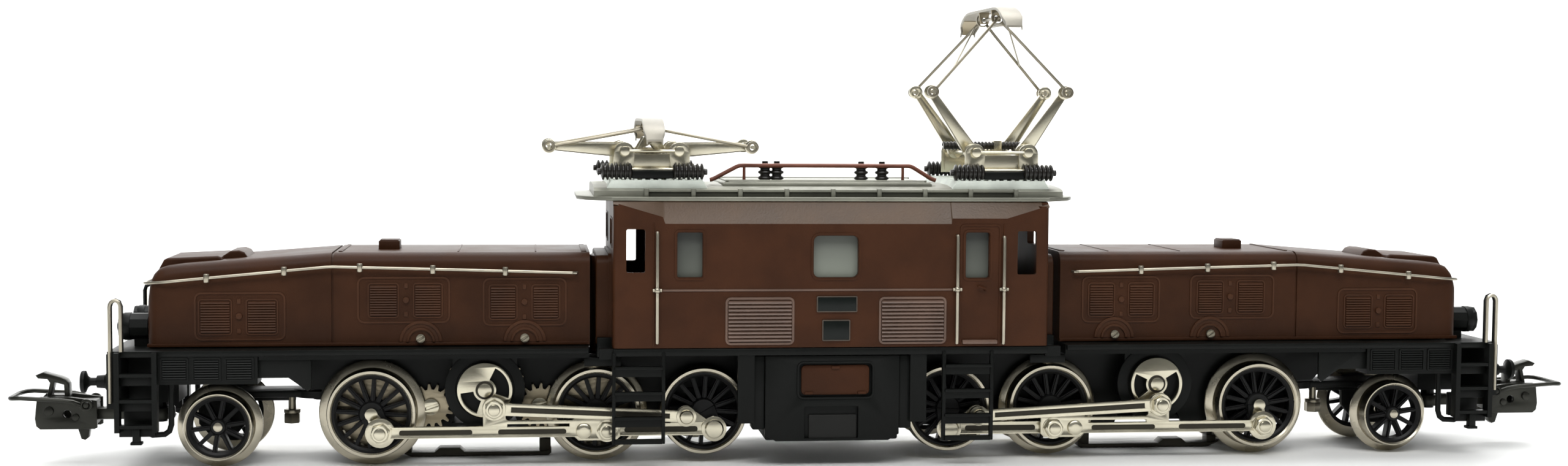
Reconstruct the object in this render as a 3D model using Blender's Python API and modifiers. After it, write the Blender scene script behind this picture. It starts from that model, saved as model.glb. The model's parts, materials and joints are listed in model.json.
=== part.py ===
"""Articulated H0 electric locomotive, wheel arrangement 1'C+C1', built as an assembly.

Frame: +X along the track, +Z up, origin on the ground under the middle of the cab.
Each end is described once, with u the distance from the middle along X, and made for both ends.
Sizes are in millimetres, and MM turns them into metres.
"""
import math

import bmesh
import bpy
from mathutils import Matrix, Vector

MM = 0.001

# Driving dimensions
BUFFER_FACE = 115.0
LOOP_TIP = 127.6
AXLE_Z = 8.25
DRIVER_U = {"outer": 71.45, "middle": 36.55, "inner": 19.7}
DRIVER_RIM = {"outer": 8.25, "middle": 8.0, "inner": 6.95}
TREAD_R = 6.9
PILOT_U = 94.7
PILOT_R = 6.5
PILOT_TREAD_R = 5.3
WHEEL_STEPS = 20
WHEEL_BACK = 7.0
WHEEL_FACE = 10.2
JACK_U = 54.0
JACK_Z = 11.95
CRANK_R = 3.0
CRANK_ANGLE = {"left": -60.0, "right": -93.0}
BOGIE_PIVOT_U = 28.0
PILOT_PIVOT_U = 80.0
COUPLER_PIVOT_U = 105.0
LOOP_HINGE = (115.6, 9.2)
DECK_Z = (17.3, 18.85)
HOOD_Z = 19.0
HOOD_TOP = 33.4
HOOD_HALF_WIDTH = 10.5
CAB_HALF_LENGTH = 34.3
CAB_HALF_WIDTH = 16.5
CAB_Z = (19.0, 41.5)
ROOF_Z = 41.7
PANTO_X = 28.0
PANTO_PIVOT = (4.25, 49.3)
LOWER_ARM = 11.8
UPPER_ARM = 16.3
ARM_ANGLE = {"left": 3.0, "right": 55.0}

# Rod plates lie in three layers outside the wheels, given as distances from the middle plane
REAR_ROD_Y = (10.9, 11.6)
FRONT_ROD_Y = (11.8, 12.5)
UPPER_ROD_Y = (12.7, 13.4)
PIN_R = 0.85
PIN_HOLE_R = 1.05
JOINT_PIN_U = 40.15
BALL_PIN = (24.2, 2.2)

SHOE_POST_U = (44.6, 66.6)

# Gear train of the powered end
GEAR_MODULE = 0.4
WHEEL_TEETH = 29
IDLER_TEETH = 16
PINION_TEETH = 10
GEAR_Y = (-6.8, -5.8)

ENDS = {"left": -1, "right": 1}
SIDES = {"near": -1, "far": 1}

BLACK = ("frame_black", (0.019, 0.022, 0.022), 0.45, 0.2)
BROWN = ("body_brown", (0.065, 0.026, 0.018), 0.45, 0.0)
SILVER = ("roof_silver", (0.5, 0.51, 0.5), 0.4, 0.6)
NICKEL = ("nickel", (0.62, 0.58, 0.48), 0.25, 1.0)
STEEL = ("wheel_steel", (0.42, 0.38, 0.32), 0.3, 1.0)
COPPER = ("busbar_copper", (0.16, 0.05, 0.03), 0.4, 0.5)
GLASS = ("frosted_glass", (0.6, 0.62, 0.62), 0.5, 0.0)
BRONZE = ("coupler_bronze", (0.06, 0.055, 0.045), 0.4, 0.8)


def clear_scene():
    for obj in list(bpy.data.objects):
        bpy.data.objects.remove(obj)


def collection(name):
    made = bpy.data.collections.new(name)
    bpy.context.scene.collection.children.link(made)
    return made


clear_scene()
PARTS = collection("locomotive")


def material(spec):
    name, colour, roughness, metallic = spec
    found = bpy.data.materials.get(name)
    if found:
        return found
    made = bpy.data.materials.new(name)
    made.use_nodes = True
    shader = made.node_tree.nodes["Principled BSDF"]
    shader.inputs["Base Color"].default_value = (*colour, 1.0)
    shader.inputs["Roughness"].default_value = roughness
    shader.inputs["Metallic"].default_value = metallic
    return made


def add_object(data):
    obj = bpy.data.objects.new(data.name, data)
    PARTS.objects.link(obj)
    return obj


def from_bmesh(bm):
    mesh = bpy.data.meshes.new("shape")
    bm.to_mesh(mesh)
    bm.free()
    return add_object(mesh)


def box(x, y, z):
    """Box between the two values of x, of y and of z."""
    low = Vector((min(x), min(y), min(z)))
    high = Vector((max(x), max(y), max(z)))
    bm = bmesh.new()
    bmesh.ops.create_cube(bm, size=1.0)
    bmesh.ops.scale(bm, vec=(high - low) * MM, verts=bm.verts)
    bmesh.ops.translate(bm, vec=(high + low) * MM / 2, verts=bm.verts)
    return from_bmesh(bm)


TURN = {
    "x": Matrix.Rotation(math.radians(90), 4, "Y"),
    "y": Matrix.Rotation(math.radians(-90), 4, "X"),
    "z": Matrix.Identity(4),
}


def rod(axis, start, length, radius, segments=12, end_radius=None):
    """Cylinder or cone from start along an axis, towards + or - with the sign of length."""
    direction = TURN[axis] @ Vector((0, 0, 1))
    middle = Vector(start) + direction * length / 2
    tip = radius if end_radius is None else end_radius
    lower, upper = (radius, tip) if length > 0 else (tip, radius)
    bm = bmesh.new()
    place = Matrix.Translation(middle * MM) @ TURN[axis]
    bmesh.ops.create_cone(bm, cap_ends=True, segments=segments, radius1=lower * MM,
                          radius2=upper * MM, depth=abs(length) * MM, matrix=place)
    return from_bmesh(bm)


def turned(axis, centre, profile, steps):
    """Turned solid: profile holds (radius, height along the axis) from the top down."""
    mesh = bpy.data.meshes.new("profile")
    edges = [(i, i + 1) for i in range(len(profile) - 1)]
    mesh.from_pydata([(r * MM, 0.0, h * MM) for r, h in profile], edges, [])
    obj = add_object(mesh)
    screw = obj.modifiers.new("Screw", "SCREW")
    screw.steps = steps
    screw.render_steps = steps
    screw.use_merge_vertices = True
    screw.merge_threshold = 0.00001
    obj.matrix_world = Matrix.Translation(Vector(centre) * MM) @ TURN[axis]
    return baked(obj)


def plate(outline, y, holes=()):
    """Flat plate in the XZ plane between the two values of y, with holes."""
    curve = bpy.data.curves.new("outline", "CURVE")
    curve.dimensions = "2D"
    curve.fill_mode = "BOTH"
    curve.extrude = abs(y[1] - y[0]) / 2 * MM
    for points in (outline, *holes):
        spline = curve.splines.new("POLY")
        spline.points.add(len(points) - 1)
        for point, (x, z) in zip(spline.points, points):
            point.co = (x * MM, z * MM, 0.0, 1.0)
        spline.use_cyclic_u = True
    obj = add_object(curve)
    obj.matrix_world = (Matrix.Translation((0, (y[0] + y[1]) / 2 * MM, 0))
                        @ Matrix.Rotation(math.radians(90), 4, "X"))
    return baked(obj)


def wire(points, radius, resolution=1, closed=False):
    """Round wire through the points."""
    curve = bpy.data.curves.new("wire", "CURVE")
    curve.dimensions = "3D"
    curve.bevel_depth = radius * MM
    curve.bevel_resolution = resolution
    curve.use_fill_caps = True
    spline = curve.splines.new("POLY")
    spline.points.add(len(points) - 1)
    for point, place in zip(spline.points, points):
        point.co = (*(Vector(place) * MM), 1.0)
    spline.use_cyclic_u = closed
    return baked(add_object(curve))


def baked(obj):
    """The object's evaluated mesh in world space, as a new object with welded caps."""
    bpy.context.view_layer.update()
    graph = bpy.context.evaluated_depsgraph_get()
    mesh = bpy.data.meshes.new_from_object(obj.evaluated_get(graph))
    mesh.transform(obj.matrix_world)
    bpy.data.objects.remove(obj)
    bm = bmesh.new()
    bm.from_mesh(mesh)
    bmesh.ops.remove_doubles(bm, verts=bm.verts, dist=0.000002)
    bmesh.ops.recalc_face_normals(bm, faces=bm.faces)
    bm.to_mesh(mesh)
    bm.free()
    return add_object(mesh)


def combined(base, others, operation):
    for other in others:
        step = base.modifiers.new("Boolean", "BOOLEAN")
        step.operation = operation
        step.object = other
        step.solver = "EXACT"
    bpy.context.view_layer.update()
    graph = bpy.context.evaluated_depsgraph_get()
    mesh = bpy.data.meshes.new_from_object(base.evaluated_get(graph))
    for obj in (base, *others):
        bpy.data.objects.remove(obj)
    bm = bmesh.new()
    bm.from_mesh(mesh)
    bmesh.ops.remove_doubles(bm, verts=bm.verts, dist=0.000001)
    bm.to_mesh(mesh)
    bmesh.ops.dissolve_limit(bm, angle_limit=math.radians(0.3), verts=bm.verts, edges=bm.edges)
    if all(edge.is_manifold for edge in bm.edges):
        bm.to_mesh(mesh)
    bm.free()
    return add_object(mesh)


def joined(base, *others):
    return combined(base, others, "UNION")


def cut(base, *cutters):
    return combined(base, cutters, "DIFFERENCE")


def bevelled(obj, chosen, width, segments=2):
    """Bevels the edges whose two end points, in mm, chosen accepts."""
    bm = bmesh.new()
    bm.from_mesh(obj.data)
    bmesh.ops.dissolve_limit(bm, angle_limit=math.radians(1), verts=bm.verts, edges=bm.edges)
    edges = [e for e in bm.edges if chosen(e.verts[0].co / MM, e.verts[1].co / MM)]
    bmesh.ops.bevel(bm, geom=edges, offset=width * MM, segments=segments, profile=0.5, affect="EDGES")
    bm.to_mesh(obj.data)
    bm.free()
    return obj


def publish(obj, name, spec, pivot=(0, 0, 0)):
    """Names the finished piece, gives it its material and puts its origin on its pivot."""
    place = Vector(pivot) * MM
    obj.data.transform(Matrix.Translation(-place))
    obj.location = place
    obj.name = name
    obj.data.name = name
    obj.data.materials.clear()
    obj.data.materials.append(material(spec))
    obj.data.shade_smooth()
    obj.data.set_sharp_from_angle(angle=math.radians(35))
    return obj


def arc(centre, radius, start, stop, count):
    """Points on an arc, with start and stop in degrees."""
    angles = [math.radians(start + (stop - start) * i / (count - 1)) for i in range(count)]
    return [(centre[0] + radius * math.cos(a), centre[1] + radius * math.sin(a)) for a in angles]


def circle(centre, radius, count=8):
    return arc(centre, radius, 0, 360 * (count - 1) / count, count)


def toothed(centre, teeth, phase):
    """Gear outline with straight-sided teeth; phase is a tooth's direction in degrees."""
    pitch = GEAR_MODULE * teeth / 2
    tip = pitch + 0.9 * GEAR_MODULE
    root = pitch - 1.2 * GEAR_MODULE
    step = 360.0 / teeth
    points = []
    for i in range(teeth):
        middle = phase + i * step
        for radius, part in ((root, -0.33), (tip, -0.11), (tip, 0.11), (root, 0.33)):
            points.append(arc(centre, radius, middle + part * step, 0, 2)[0])
    return points


def crank(end, side):
    """Vector from an axle to its crank pin; the far side runs a quarter turn ahead."""
    angle = math.radians(CRANK_ANGLE[end] + (90 if side == "far" else 0))
    return CRANK_R * math.cos(angle), CRANK_R * math.sin(angle)


# Gear phases: a tooth of the shaft gear points at its idler, and every mesh follows from that

def bearing_to(a, b):
    return math.degrees(math.atan2(b[1] - a[1], b[0] - a[0]))


def meshed_phase(centre, teeth, partner, partner_teeth, partner_phase):
    """Phase that puts a tooth gap of this gear on the partner's tooth along the centre line."""
    towards = bearing_to(partner, centre)
    offset = (towards - partner_phase) % (360.0 / partner_teeth)
    offset_turn = offset * partner_teeth / teeth
    back = bearing_to(centre, partner)
    return back + offset_turn + 180.0 / teeth


def third_point(a, b, distance, below):
    """The point at the same distance from a and b, below or above the line between them."""
    middle = ((a[0] + b[0]) / 2, (a[1] + b[1]) / 2)
    half = math.dist(a, b) / 2
    rise = math.sqrt(distance ** 2 - half ** 2)
    normal = ((b[1] - a[1]) / (2 * half), -(b[0] - a[0]) / (2 * half))
    sign = 1 if (normal[1] < 0) == below else -1
    return middle[0] + sign * normal[0] * rise, middle[1] + sign * normal[1] * rise


SHAFT = (ENDS["left"] * JACK_U, JACK_Z)
GEAR_SPACING = GEAR_MODULE * (WHEEL_TEETH + IDLER_TEETH) / 2
AXLE = {name: (ENDS["left"] * u, AXLE_Z) for name, u in DRIVER_U.items()}
IDLER = {name: third_point(SHAFT, AXLE[name], GEAR_SPACING, True) for name in ("outer", "middle")}
PINION = (SHAFT[0], JACK_Z + GEAR_MODULE * (WHEEL_TEETH + PINION_TEETH) / 2)
SHAFT_PHASE = 90.0
IDLER_PHASE = {name: meshed_phase(centre, IDLER_TEETH, SHAFT, WHEEL_TEETH, SHAFT_PHASE)
               for name, centre in IDLER.items()}
AXLE_PHASE = {name: meshed_phase(AXLE[name], WHEEL_TEETH, centre, IDLER_TEETH, IDLER_PHASE[name])
              for name, centre in IDLER.items()}
PINION_PHASE = meshed_phase(PINION, PINION_TEETH, SHAFT, WHEEL_TEETH, SHAFT_PHASE)


# Centre section

# Side windows of the cab on its near side: middle along X, width, sill and top height
CAB_WINDOWS = [
    (-30.9, 3.0, 30.7, 37.4),
    (-22.5, 4.0, 29.9, 36.9),
    (0.35, 7.0, 29.9, 36.4),
    (22.8, 3.8, 29.8, 36.9),
    (30.75, 3.1, 30.4, 37.1),
]


def make_cab_body():
    x, y = CAB_HALF_LENGTH, CAB_HALF_WIDTH
    shell = box((-x, x), (-y, y), CAB_Z)
    bevelled(shell, lambda a, b: abs(a.x - b.x) < 1 and abs(a.y - b.y) < 1, 0.8)
    wall = 1.0
    cutters = [box((-x + wall, x - wall), (-y + wall, y - wall), (CAB_Z[0] - 2, CAB_Z[1] + 2))]
    for side in SIDES.values():
        for middle, width, low, high in CAB_WINDOWS:
            centre = -side * middle
            cutters.append(box((centre - width / 2, centre + width / 2),
                               (side * (y - 2), side * (y + 1)), (low, high)))
    for end in ENDS.values():
        for side in SIDES.values():
            cutters.append(box((end * (x - 2), end * (x + 1)), (side * 6.0, side * 12.5), (34.6, 38.6)))
    publish(cut(shell, *cutters), "cab_body", BROWN)


def make_cab_roof():
    wide, tip, tip_half = 15.4, 39.8, 8.5
    quarter = [(34.5, wide), (38.4, 12.0), (tip, tip_half)]
    right = quarter + [(x, -y) for x, y in reversed(quarter)]
    outline = right + [(-x, -y) for x, y in right]
    eave = laid_flat(outline, (ROOF_Z, ROOF_Z + 0.7))
    body = box((-36.0, 36.0), (-14.2, 14.2), (ROOF_Z + 0.4, 43.4))
    crown = box((-37.4, 37.4), (-11.0, 11.0), (ROOF_Z + 0.4, 44.1))
    raised = box((-16.5, 16.5), (-8.5, 8.5), (43.0, 44.6))
    pads = [box((end * 19.3, end * 35.0), (-12.0, 12.0), (43.0, 45.0)) for end in ENDS.values()]
    publish(joined(eave, body, crown, raised, *pads), "cab_roof", SILVER)


def laid_flat(outline, z):
    """Flat plate in the XY plane between the two values of z."""
    made = plate(outline, (-abs(z[1] - z[0]) / 2, abs(z[1] - z[0]) / 2))
    middle = Vector((0, 0, (z[0] + z[1]) / 2 * MM))
    made.data.transform(Matrix.Translation(middle) @ Matrix.Rotation(math.radians(-90), 4, "X"))
    return made


def make_cab_glazing():
    outer = box((-26.8, 26.8), (-15.2, 15.2), (19.2, 40.8))
    inner = box((-26.0, 26.0), (-14.4, 14.4), (18.0, 42.0))
    publish(cut(outer, inner), "cab_glazing", GLASS)


def make_reversing_unit():
    base = box((-14, 14), (-9, 9), (19.2, 20.6))
    coil = rod("x", (-11, 0, 26.0), 15, 4.6)
    yoke = box((-12.5, -10.5), (-5, 5), (20.2, 32.0))
    keeper = box((4.5, 6.0), (-4, 4), (20.2, 33.5))
    drum = rod("y", (10.0, -6, 25.0), 12, 2.6)
    stand = box((8.5, 11.5), (-5, 5), (20.2, 25.0))
    publish(joined(base, coil, yoke, keeper, drum, stand), "reversing_unit", NICKEL)


def ladder_pieces(centre, side):
    half, inner, outer, top, foot = 4.05, 16.1, 16.9, 18.2, 4.2
    pieces = [box((centre + s * half, centre + s * (half - 0.5)), (side * inner, side * outer), (foot, top))
              for s in (-1, 1)]
    for low, high in ((14.6, 16.2), (10.8, 12.3), (6.8, 8.4), (foot, 4.9)):
        pieces.append(box((centre - half, centre + half),
                          (side * (inner + 0.1), side * (outer - 0.2)), (low, high)))
    return pieces


def make_centre_frame():
    floor = box((-CAB_HALF_LENGTH, CAB_HALF_LENGTH), (-16.4, 16.4), (17.8, 18.8))
    pieces = []
    for side in SIDES.values():
        for centre in (-30.35, 21.4):
            pieces += ladder_pieces(-side * centre, side)
        for end in ENDS.values():
            pieces.append(box((end * 12.3, end * 14.9), (side * 15.0, side * 16.2), (7.1, 18.3)))
            pieces.append(box((end * 34.0, end * 36.4), (side * 15.0, side * 16.3), (17.3, 18.9)))
    for end in ENDS.values():
        pieces.append(rod("z", (end * BOGIE_PIVOT_U, 0, 18.3), -4.1, 1.5))
    publish(joined(floor, *pieces), "centre_frame", BLACK)


def make_equipment_box():
    shell = box((-10.6, 10.6), (-16.0, 16.0), (4.2, 17.6))
    cutters = []
    hatches = []
    for side in SIDES.values():
        cutters.append(box((-5.6, 5.8), (side * 15.5, side * 17), (11.1, 16.4)))
        cutters.append(box((-4.5, 4.2), (side * 14.8, side * 17), (3.0, 9.7)))
        hatches.append(box((-4.9, 5.2), (side * 15.2, side * 15.8), (11.5, 16.0)))
        hatches.append(box((-3.9, 3.7), (side * 14.6, side * 15.6), (4.2, 8.2)))
    publish(joined(cut(shell, *cutters), *hatches), "equipment_box", BLACK)


def make_roof_busbar():
    y, top = -6.0, 47.0
    line = wire([(-18.6, y, 44.6), (-17.6, y, 44.9), (-13.9, y, top), (13.9, y, top),
                 (17.0, y, 44.9), (18.0, y, 44.6)], 0.45)
    insulator = [(0, 3.2), (0.6, 3.2), (1.05, 2.1), (1.05, 0.7), (0.6, 0.0), (0, 0.0)]
    pieces = [rod("z", (x, y, 44.75), 2.3, 0.3, 8) for x in (-13.1, 12.6)]
    pieces += [turned("z", (x, y + 1.2, 44.75), insulator, 8) for x in (-9.6, -7.7, 6.0, 9.4)]
    publish(joined(line, *pieces), "roof_busbar", COPPER)


# Pantographs

def arm_angles(end):
    """Lower and upper arm angles above the horizontal at rest, in radians."""
    lower = math.radians(ARM_ANGLE[end])
    upper = math.acos((PANTO_PIVOT[0] + LOWER_ARM * math.cos(lower)) / UPPER_ARM)
    return lower, upper


def panto_points(end, hand):
    """Pivot, elbow and apex (x, z) of the arms on one hand, -1 or 1, of one pantograph."""
    lower, upper = arm_angles(end)
    x = ENDS[end] * PANTO_X
    pivot = (x + hand * PANTO_PIVOT[0], PANTO_PIVOT[1])
    elbow = (pivot[0] + hand * LOWER_ARM * math.cos(lower), pivot[1] + LOWER_ARM * math.sin(lower))
    apex = (x, elbow[1] + UPPER_ARM * math.sin(upper))
    return pivot, elbow, apex


def make_panto_base(end):
    x = ENDS[end] * PANTO_X
    plate_base = box((x - 2.6, x + 2.6), (-11.4, 11.4), (45.3, 46.3))
    pieces = []
    for side in SIDES.values():
        y = side * 11.0
        pieces.append(rod("x", (x - 8.6, y, 46.3), 17.2, 0.5, 6))
        for hand in (-1, 1):
            pieces.append(rod("x", (x + hand * 3.1, y, 46.3), hand * 5.2, 1.15, 8))
            leg = [(1.4, 45.5), (6.0, 45.5), (5.4, 49.4), (4.9, 50.3), (3.6, 50.3), (3.1, 49.4)]
            leg = [(x + hand * u, z) for u, z in leg]
            pivot_hole = circle((x + hand * PANTO_PIVOT[0], PANTO_PIVOT[1]), 0.9)
            pieces.append(plate(leg, (side * 9.0, side * 9.8), [pivot_hole]))
        pieces.append(box((x - 6.2, x + 6.2), (side * 9.2, side * 11.1), (45.35, 45.9)))
    publish(joined(plate_base, *pieces), "panto_base_" + end, NICKEL)


def slanted(a, b, half_a, half_b):
    """Four corners of a bar from a to b with its half heights at the two ends."""
    length = math.dist(a, b)
    nx, nz = -(b[1] - a[1]) / length, (b[0] - a[0]) / length
    return [(a[0] + nx * half_a, a[1] + nz * half_a), (a[0] - nx * half_a, a[1] - nz * half_a),
            (b[0] - nx * half_b, b[1] - nz * half_b), (b[0] + nx * half_b, b[1] + nz * half_b)]


def make_panto_lower_arm(end, hand, name):
    pivot, elbow, _ = panto_points(end, hand)
    tube = rod("y", (pivot[0], -10.2, pivot[1]), 20.4, 0.6, 8)
    pieces = []
    for side in SIDES.values():
        pieces.append(plate(slanted(pivot, elbow, 1.0, 0.55), (side * 6.25, side * 6.75)))
        pieces.append(rod("y", (elbow[0], side * 6.2, elbow[1]), side * 0.6, 0.85, 8))
        pieces.append(rod("y", (elbow[0], side * 6.5, elbow[1]), side * 2.8, 0.35, 6))
    publish(joined(tube, *pieces), name, NICKEL, (pivot[0], 0, pivot[1]))


def make_panto_upper_arm(end, hand, name):
    """Two wires and a brace; the a arm carries the apex bar, and the b arm's eyes turn on it."""
    _, elbow, apex = panto_points(end, hand)
    foot, top = Vector((elbow[0], 0, elbow[1])), Vector((apex[0], 0, apex[1]))
    toward = (top - foot).normalized()
    lead = hand < 0
    stop = top if lead else top - toward * 0.98
    eye_y, head_y = 8.45, 6.2 if lead else 5.5
    bar_at = top if lead else top - toward * 1.45
    bar = rod("y", (bar_at.x, -head_y - 0.35, bar_at.z), 2 * head_y + 0.7, 0.28 if lead else 0.25, 8)
    pieces = []
    for side in SIDES.values():
        pieces.append(plate(circle(elbow, 0.95), (side * 8.1, side * 8.8), [circle(elbow, 0.55)]))
        start = foot + toward * 0.8 + Vector((0, side * eye_y, 0))
        finish = stop + Vector((0, side * head_y, 0))
        pieces.append(wire([start, finish], 0.27, 0))
        if side == hand:
            brace_end = start.lerp(finish, 0.88)
            across = Vector((brace_end.x, -brace_end.y, brace_end.z))
            pieces.append(wire([start.lerp(finish, 0.25), across], 0.17, 0))
        if not lead:
            pieces.append(plate(circle(apex, 1.1), (side * 5.2, side * 5.8), [circle(apex, 0.87)]))
    publish(joined(bar, *pieces), name, NICKEL, (elbow[0], 0, elbow[1]))


def make_panto_head(end):
    _, _, apex = panto_points(end, -1)
    rise, thickness = 1.6, 0.4
    horn = [(9.0, 0.0), (12.6, -0.4), (15.4, -1.4), (17.4, -3.3)]
    upper = [(-y, z) for y, z in reversed(horn)] + horn
    lower = [(y * 0.985, z - thickness) for y, z in reversed(upper)]
    strip = plate(upper + lower, (-1.7, 1.7))
    strip.data.transform(Matrix.Translation((apex[0] * MM, 0, (apex[1] + rise) * MM))
                         @ Matrix.Rotation(math.radians(90), 4, "Z"))
    ears = []
    for side in SIDES.values():
        ear = [(-0.7, -0.6), (0.7, -0.6), (0.9, 1.4), (-0.9, 1.4)]
        ear = [(apex[0] + x, apex[1] + z) for x, z in ear]
        ears.append(plate(ear, (side * 4.3, side * 4.8), [circle(apex, 0.45)]))
    publish(joined(strip, *ears), "panto_head_" + end, NICKEL, (apex[0], 0, apex[1]))


def make_pantograph(end):
    make_panto_base(end)
    for hand, word in ((-1, "a"), (1, "b")):
        make_panto_lower_arm(end, hand, f"panto_lower_{word}_{end}")
        make_panto_upper_arm(end, hand, f"panto_upper_{word}_{end}")
    make_panto_head(end)


# Bogies

def bogie_pivot(end):
    return ENDS[end] * BOGIE_PIVOT_U, 0, 16


def mirrored(sign, points):
    return [(sign * u, z) for u, z in points]


def side_plate(sign, side):
    """Inner frame plate with bearing lugs for the driving axles and the jackshaft."""
    lug = 2.3
    outer, middle, inner = DRIVER_U.values()
    outline = [(13.5, 16.9), (38.4, 16.9), (38.4, 18.0), (49.6, 18.0), (50.6, 22.6), (57.4, 22.6),
               (58.4, 18.0), (86.0, 18.0), (84.9, 14.4), (82.2, 11.7), (outer + lug, 11.5),
               (outer + lug, 6.2), (outer - lug, 6.2), (outer - lug, 11.0), (65.2, 10.7),
               (65.2, 5.2), (59.8, 5.1), (58.0, 8.9), (50.0, 8.8), (48.5, 5.0), (43.3, 4.9),
               (43.3, 11.0), (middle + lug, 10.8), (middle + lug, 6.3), (middle - lug, 6.3),
               (middle - lug, 11.6), (inner + lug, 11.2), (inner + lug, 6.1), (inner - lug, 6.1),
               (inner - lug, 10.9), (13.5, 11.3)]
    bearings = [circle((sign * u, AXLE_Z), 1.5) for u in DRIVER_U.values()]
    bearings.append(circle((sign * JACK_U, JACK_Z), 1.5))
    bearings.append(circle((sign * JACK_U, PINION[1]), 0.95))
    return plate(mirrored(sign, outline), (side * 4.6, side * 5.6), bearings)


def shaft_guard(sign, side):
    """Round guard in front of the jackshaft gear, hung from the deck."""
    radius, half = 6.2, 5.0
    chord = math.degrees(math.acos(half / radius))
    outline = [(half, 5.8)] + arc((0, 0), radius, chord, -180 - chord, 10) + [(-half, 5.8)]
    placed = [(sign * JACK_U + x, JACK_Z + z) for x, z in outline]
    return plate(placed, (side * 7.4, side * 9.3), [circle((sign * JACK_U, JACK_Z), 1.5)])


def end_steps(sign, side):
    inner, outer = 13.7, 15.5
    pieces = [box((sign * u, sign * (u + 0.75)), (side * inner, side * outer), (6.6, 18.7))
              for u in (102.8, 108.32)]
    between = (sign * 103.2, sign * 108.5)
    for z in (15.5, 11.6, 7.7):
        pieces.append(box(between, (side * (inner + 0.1), side * (outer - 0.1)), (z - 0.5, z)))
    return pieces


def corner_handrail(sign, side):
    y = side * 13.9
    outer, inner = sign * 109.75, sign * 108.15
    top = [(109.75, 25.6), (109.5, 26.3), (108.95, 26.55), (108.4, 26.3), (108.15, 25.6)]
    route = [(outer, y, 10.6)] + [(sign * u, y, z) for u, z in top] + [(inner, y, 18.6)]
    return wire(route, 0.3, 0)


def bogie_deck(sign):
    deck = box((sign * 37.9, sign * 88.0), (-13.8, 13.8), DECK_Z)
    platform = box((sign * 87.0, sign * 110.2), (-14.4, 14.4), (17.9, DECK_Z[1] - 0.05))
    motor_well = box((sign * 45.5, sign * 62.5), (-4.6, 4.6), (15, 20))
    gear_well = box((sign * (JACK_U - 3.6), sign * (JACK_U + 3.6)), (-7.2, 7.2), (15, 20))
    return cut(joined(deck, platform), motor_well, gear_well)


def idler_studs():
    return [rod("y", (x, -5.4, z), -1.6, 0.72, 8) for x, z in IDLER.values()]


def make_bogie_frame(end):
    sign = ENDS[end]
    pieces = []
    for side in SIDES.values():
        pieces.append(side_plate(sign, side))
        pieces.append(shaft_guard(sign, side))
        pieces.append(box((sign * 88.1, sign * 102.9), (side * 9.6, side * 14.2), (13.7, 18.1)))
        pieces += end_steps(sign, side)
        pieces.append(corner_handrail(sign, side))
        pieces.append(rod("x", (sign * 105.4, side * 6.0, 21.8), sign * 4.4, 2.1, 10))
        pieces.append(box((sign * 105.6, sign * 107.6), (side * 5.2, side * 6.8), (18.5, 21.0)))
    pieces.append(box((sign * 109.1, sign * 110.35), (-14.3, 14.3), (10.1, 18.4)))
    pieces.append(box((sign * 101.5, sign * 109.5), (-3.8, 3.8), (9.6, 18.3)))
    pieces.append(rod("z", (sign * COUPLER_PIVOT_U, 0, 10), -3.9, 1.1))
    pieces.append(box((sign * 75.5, sign * 83.0), (-5.0, 5.0), (13.2, 17.6)))
    pieces.append(rod("z", (sign * PILOT_PIVOT_U, 0, 14), -4.6, 1.3))
    pieces.append(box((sign * 39.5, sign * 43.5), (-5.0, 5.0), (12.0, 17.6)))
    pieces.append(box((sign * 24.0, sign * 32.0), (-5.0, 5.0), (14.6, 16.85)))
    pieces.append(box((sign * 43.2, sign * 68.0), (-5.1, 5.1), (5.35, 6.05)))
    if end == "left":
        pieces += idler_studs()
    holes = [rod("z", (sign * BOGIE_PIVOT_U, 0, 13), 5, 1.95, 14)]
    holes += [rod("z", (sign * u, 0, 4.5), 2.5, 0.8, 10) for u in SHOE_POST_U]
    whole = cut(joined(bogie_deck(sign), *pieces), *holes)
    publish(whole, "bogie_frame_" + end, BLACK, bogie_pivot(end))


def hood_solid(sign, inset, base):
    """Hood outer or inner form: level top, then the sloping and rounded nose."""
    outline = [(37.7 + inset, base), (37.7 + inset, HOOD_TOP - inset), (77.2, HOOD_TOP - inset),
               (99.6, 31.7 - inset), (103.2 - inset * 0.5, 30.7 - inset),
               (105.0 - inset, 28.4 - inset * 0.5), (105.0 - inset, base)]
    half = HOOD_HALF_WIDTH - inset
    solid = plate(mirrored(sign, outline), (-half, half))

    def top_side_or_front_corner(a, b):
        along_side = abs(a.y - b.y) < 0.1
        front = min(abs(a.x), abs(b.x)) > 104.0 - inset
        above = min(a.z, b.z) > 27.0 - inset
        return along_side and (above or front) and not max(abs(a.x), abs(b.x)) < 38 + inset

    return bevelled(solid, top_side_or_front_corner, 1.9 if inset == 0 else 1.2)


def make_hood(end):
    sign = ENDS[end]
    outer = hood_solid(sign, 0.0, HOOD_Z)
    inner = hood_solid(sign, 1.1, HOOD_Z - 1.5)
    hatch = [(86.8, 31.0), (86.8, 32.9), (88.2, 33.6), (100.8, 32.4), (102.4, 31.3), (100.0, 31.0)]
    nose_hatch = plate(mirrored(sign, hatch), (-5.6, 5.6))
    vent = box((sign * 66.4, sign * 70.4), (-3.0, 3.0), (32.9, 34.8))
    publish(joined(cut(outer, inner), nose_hatch, vent), "hood_" + end, BROWN, bogie_pivot(end))


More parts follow.
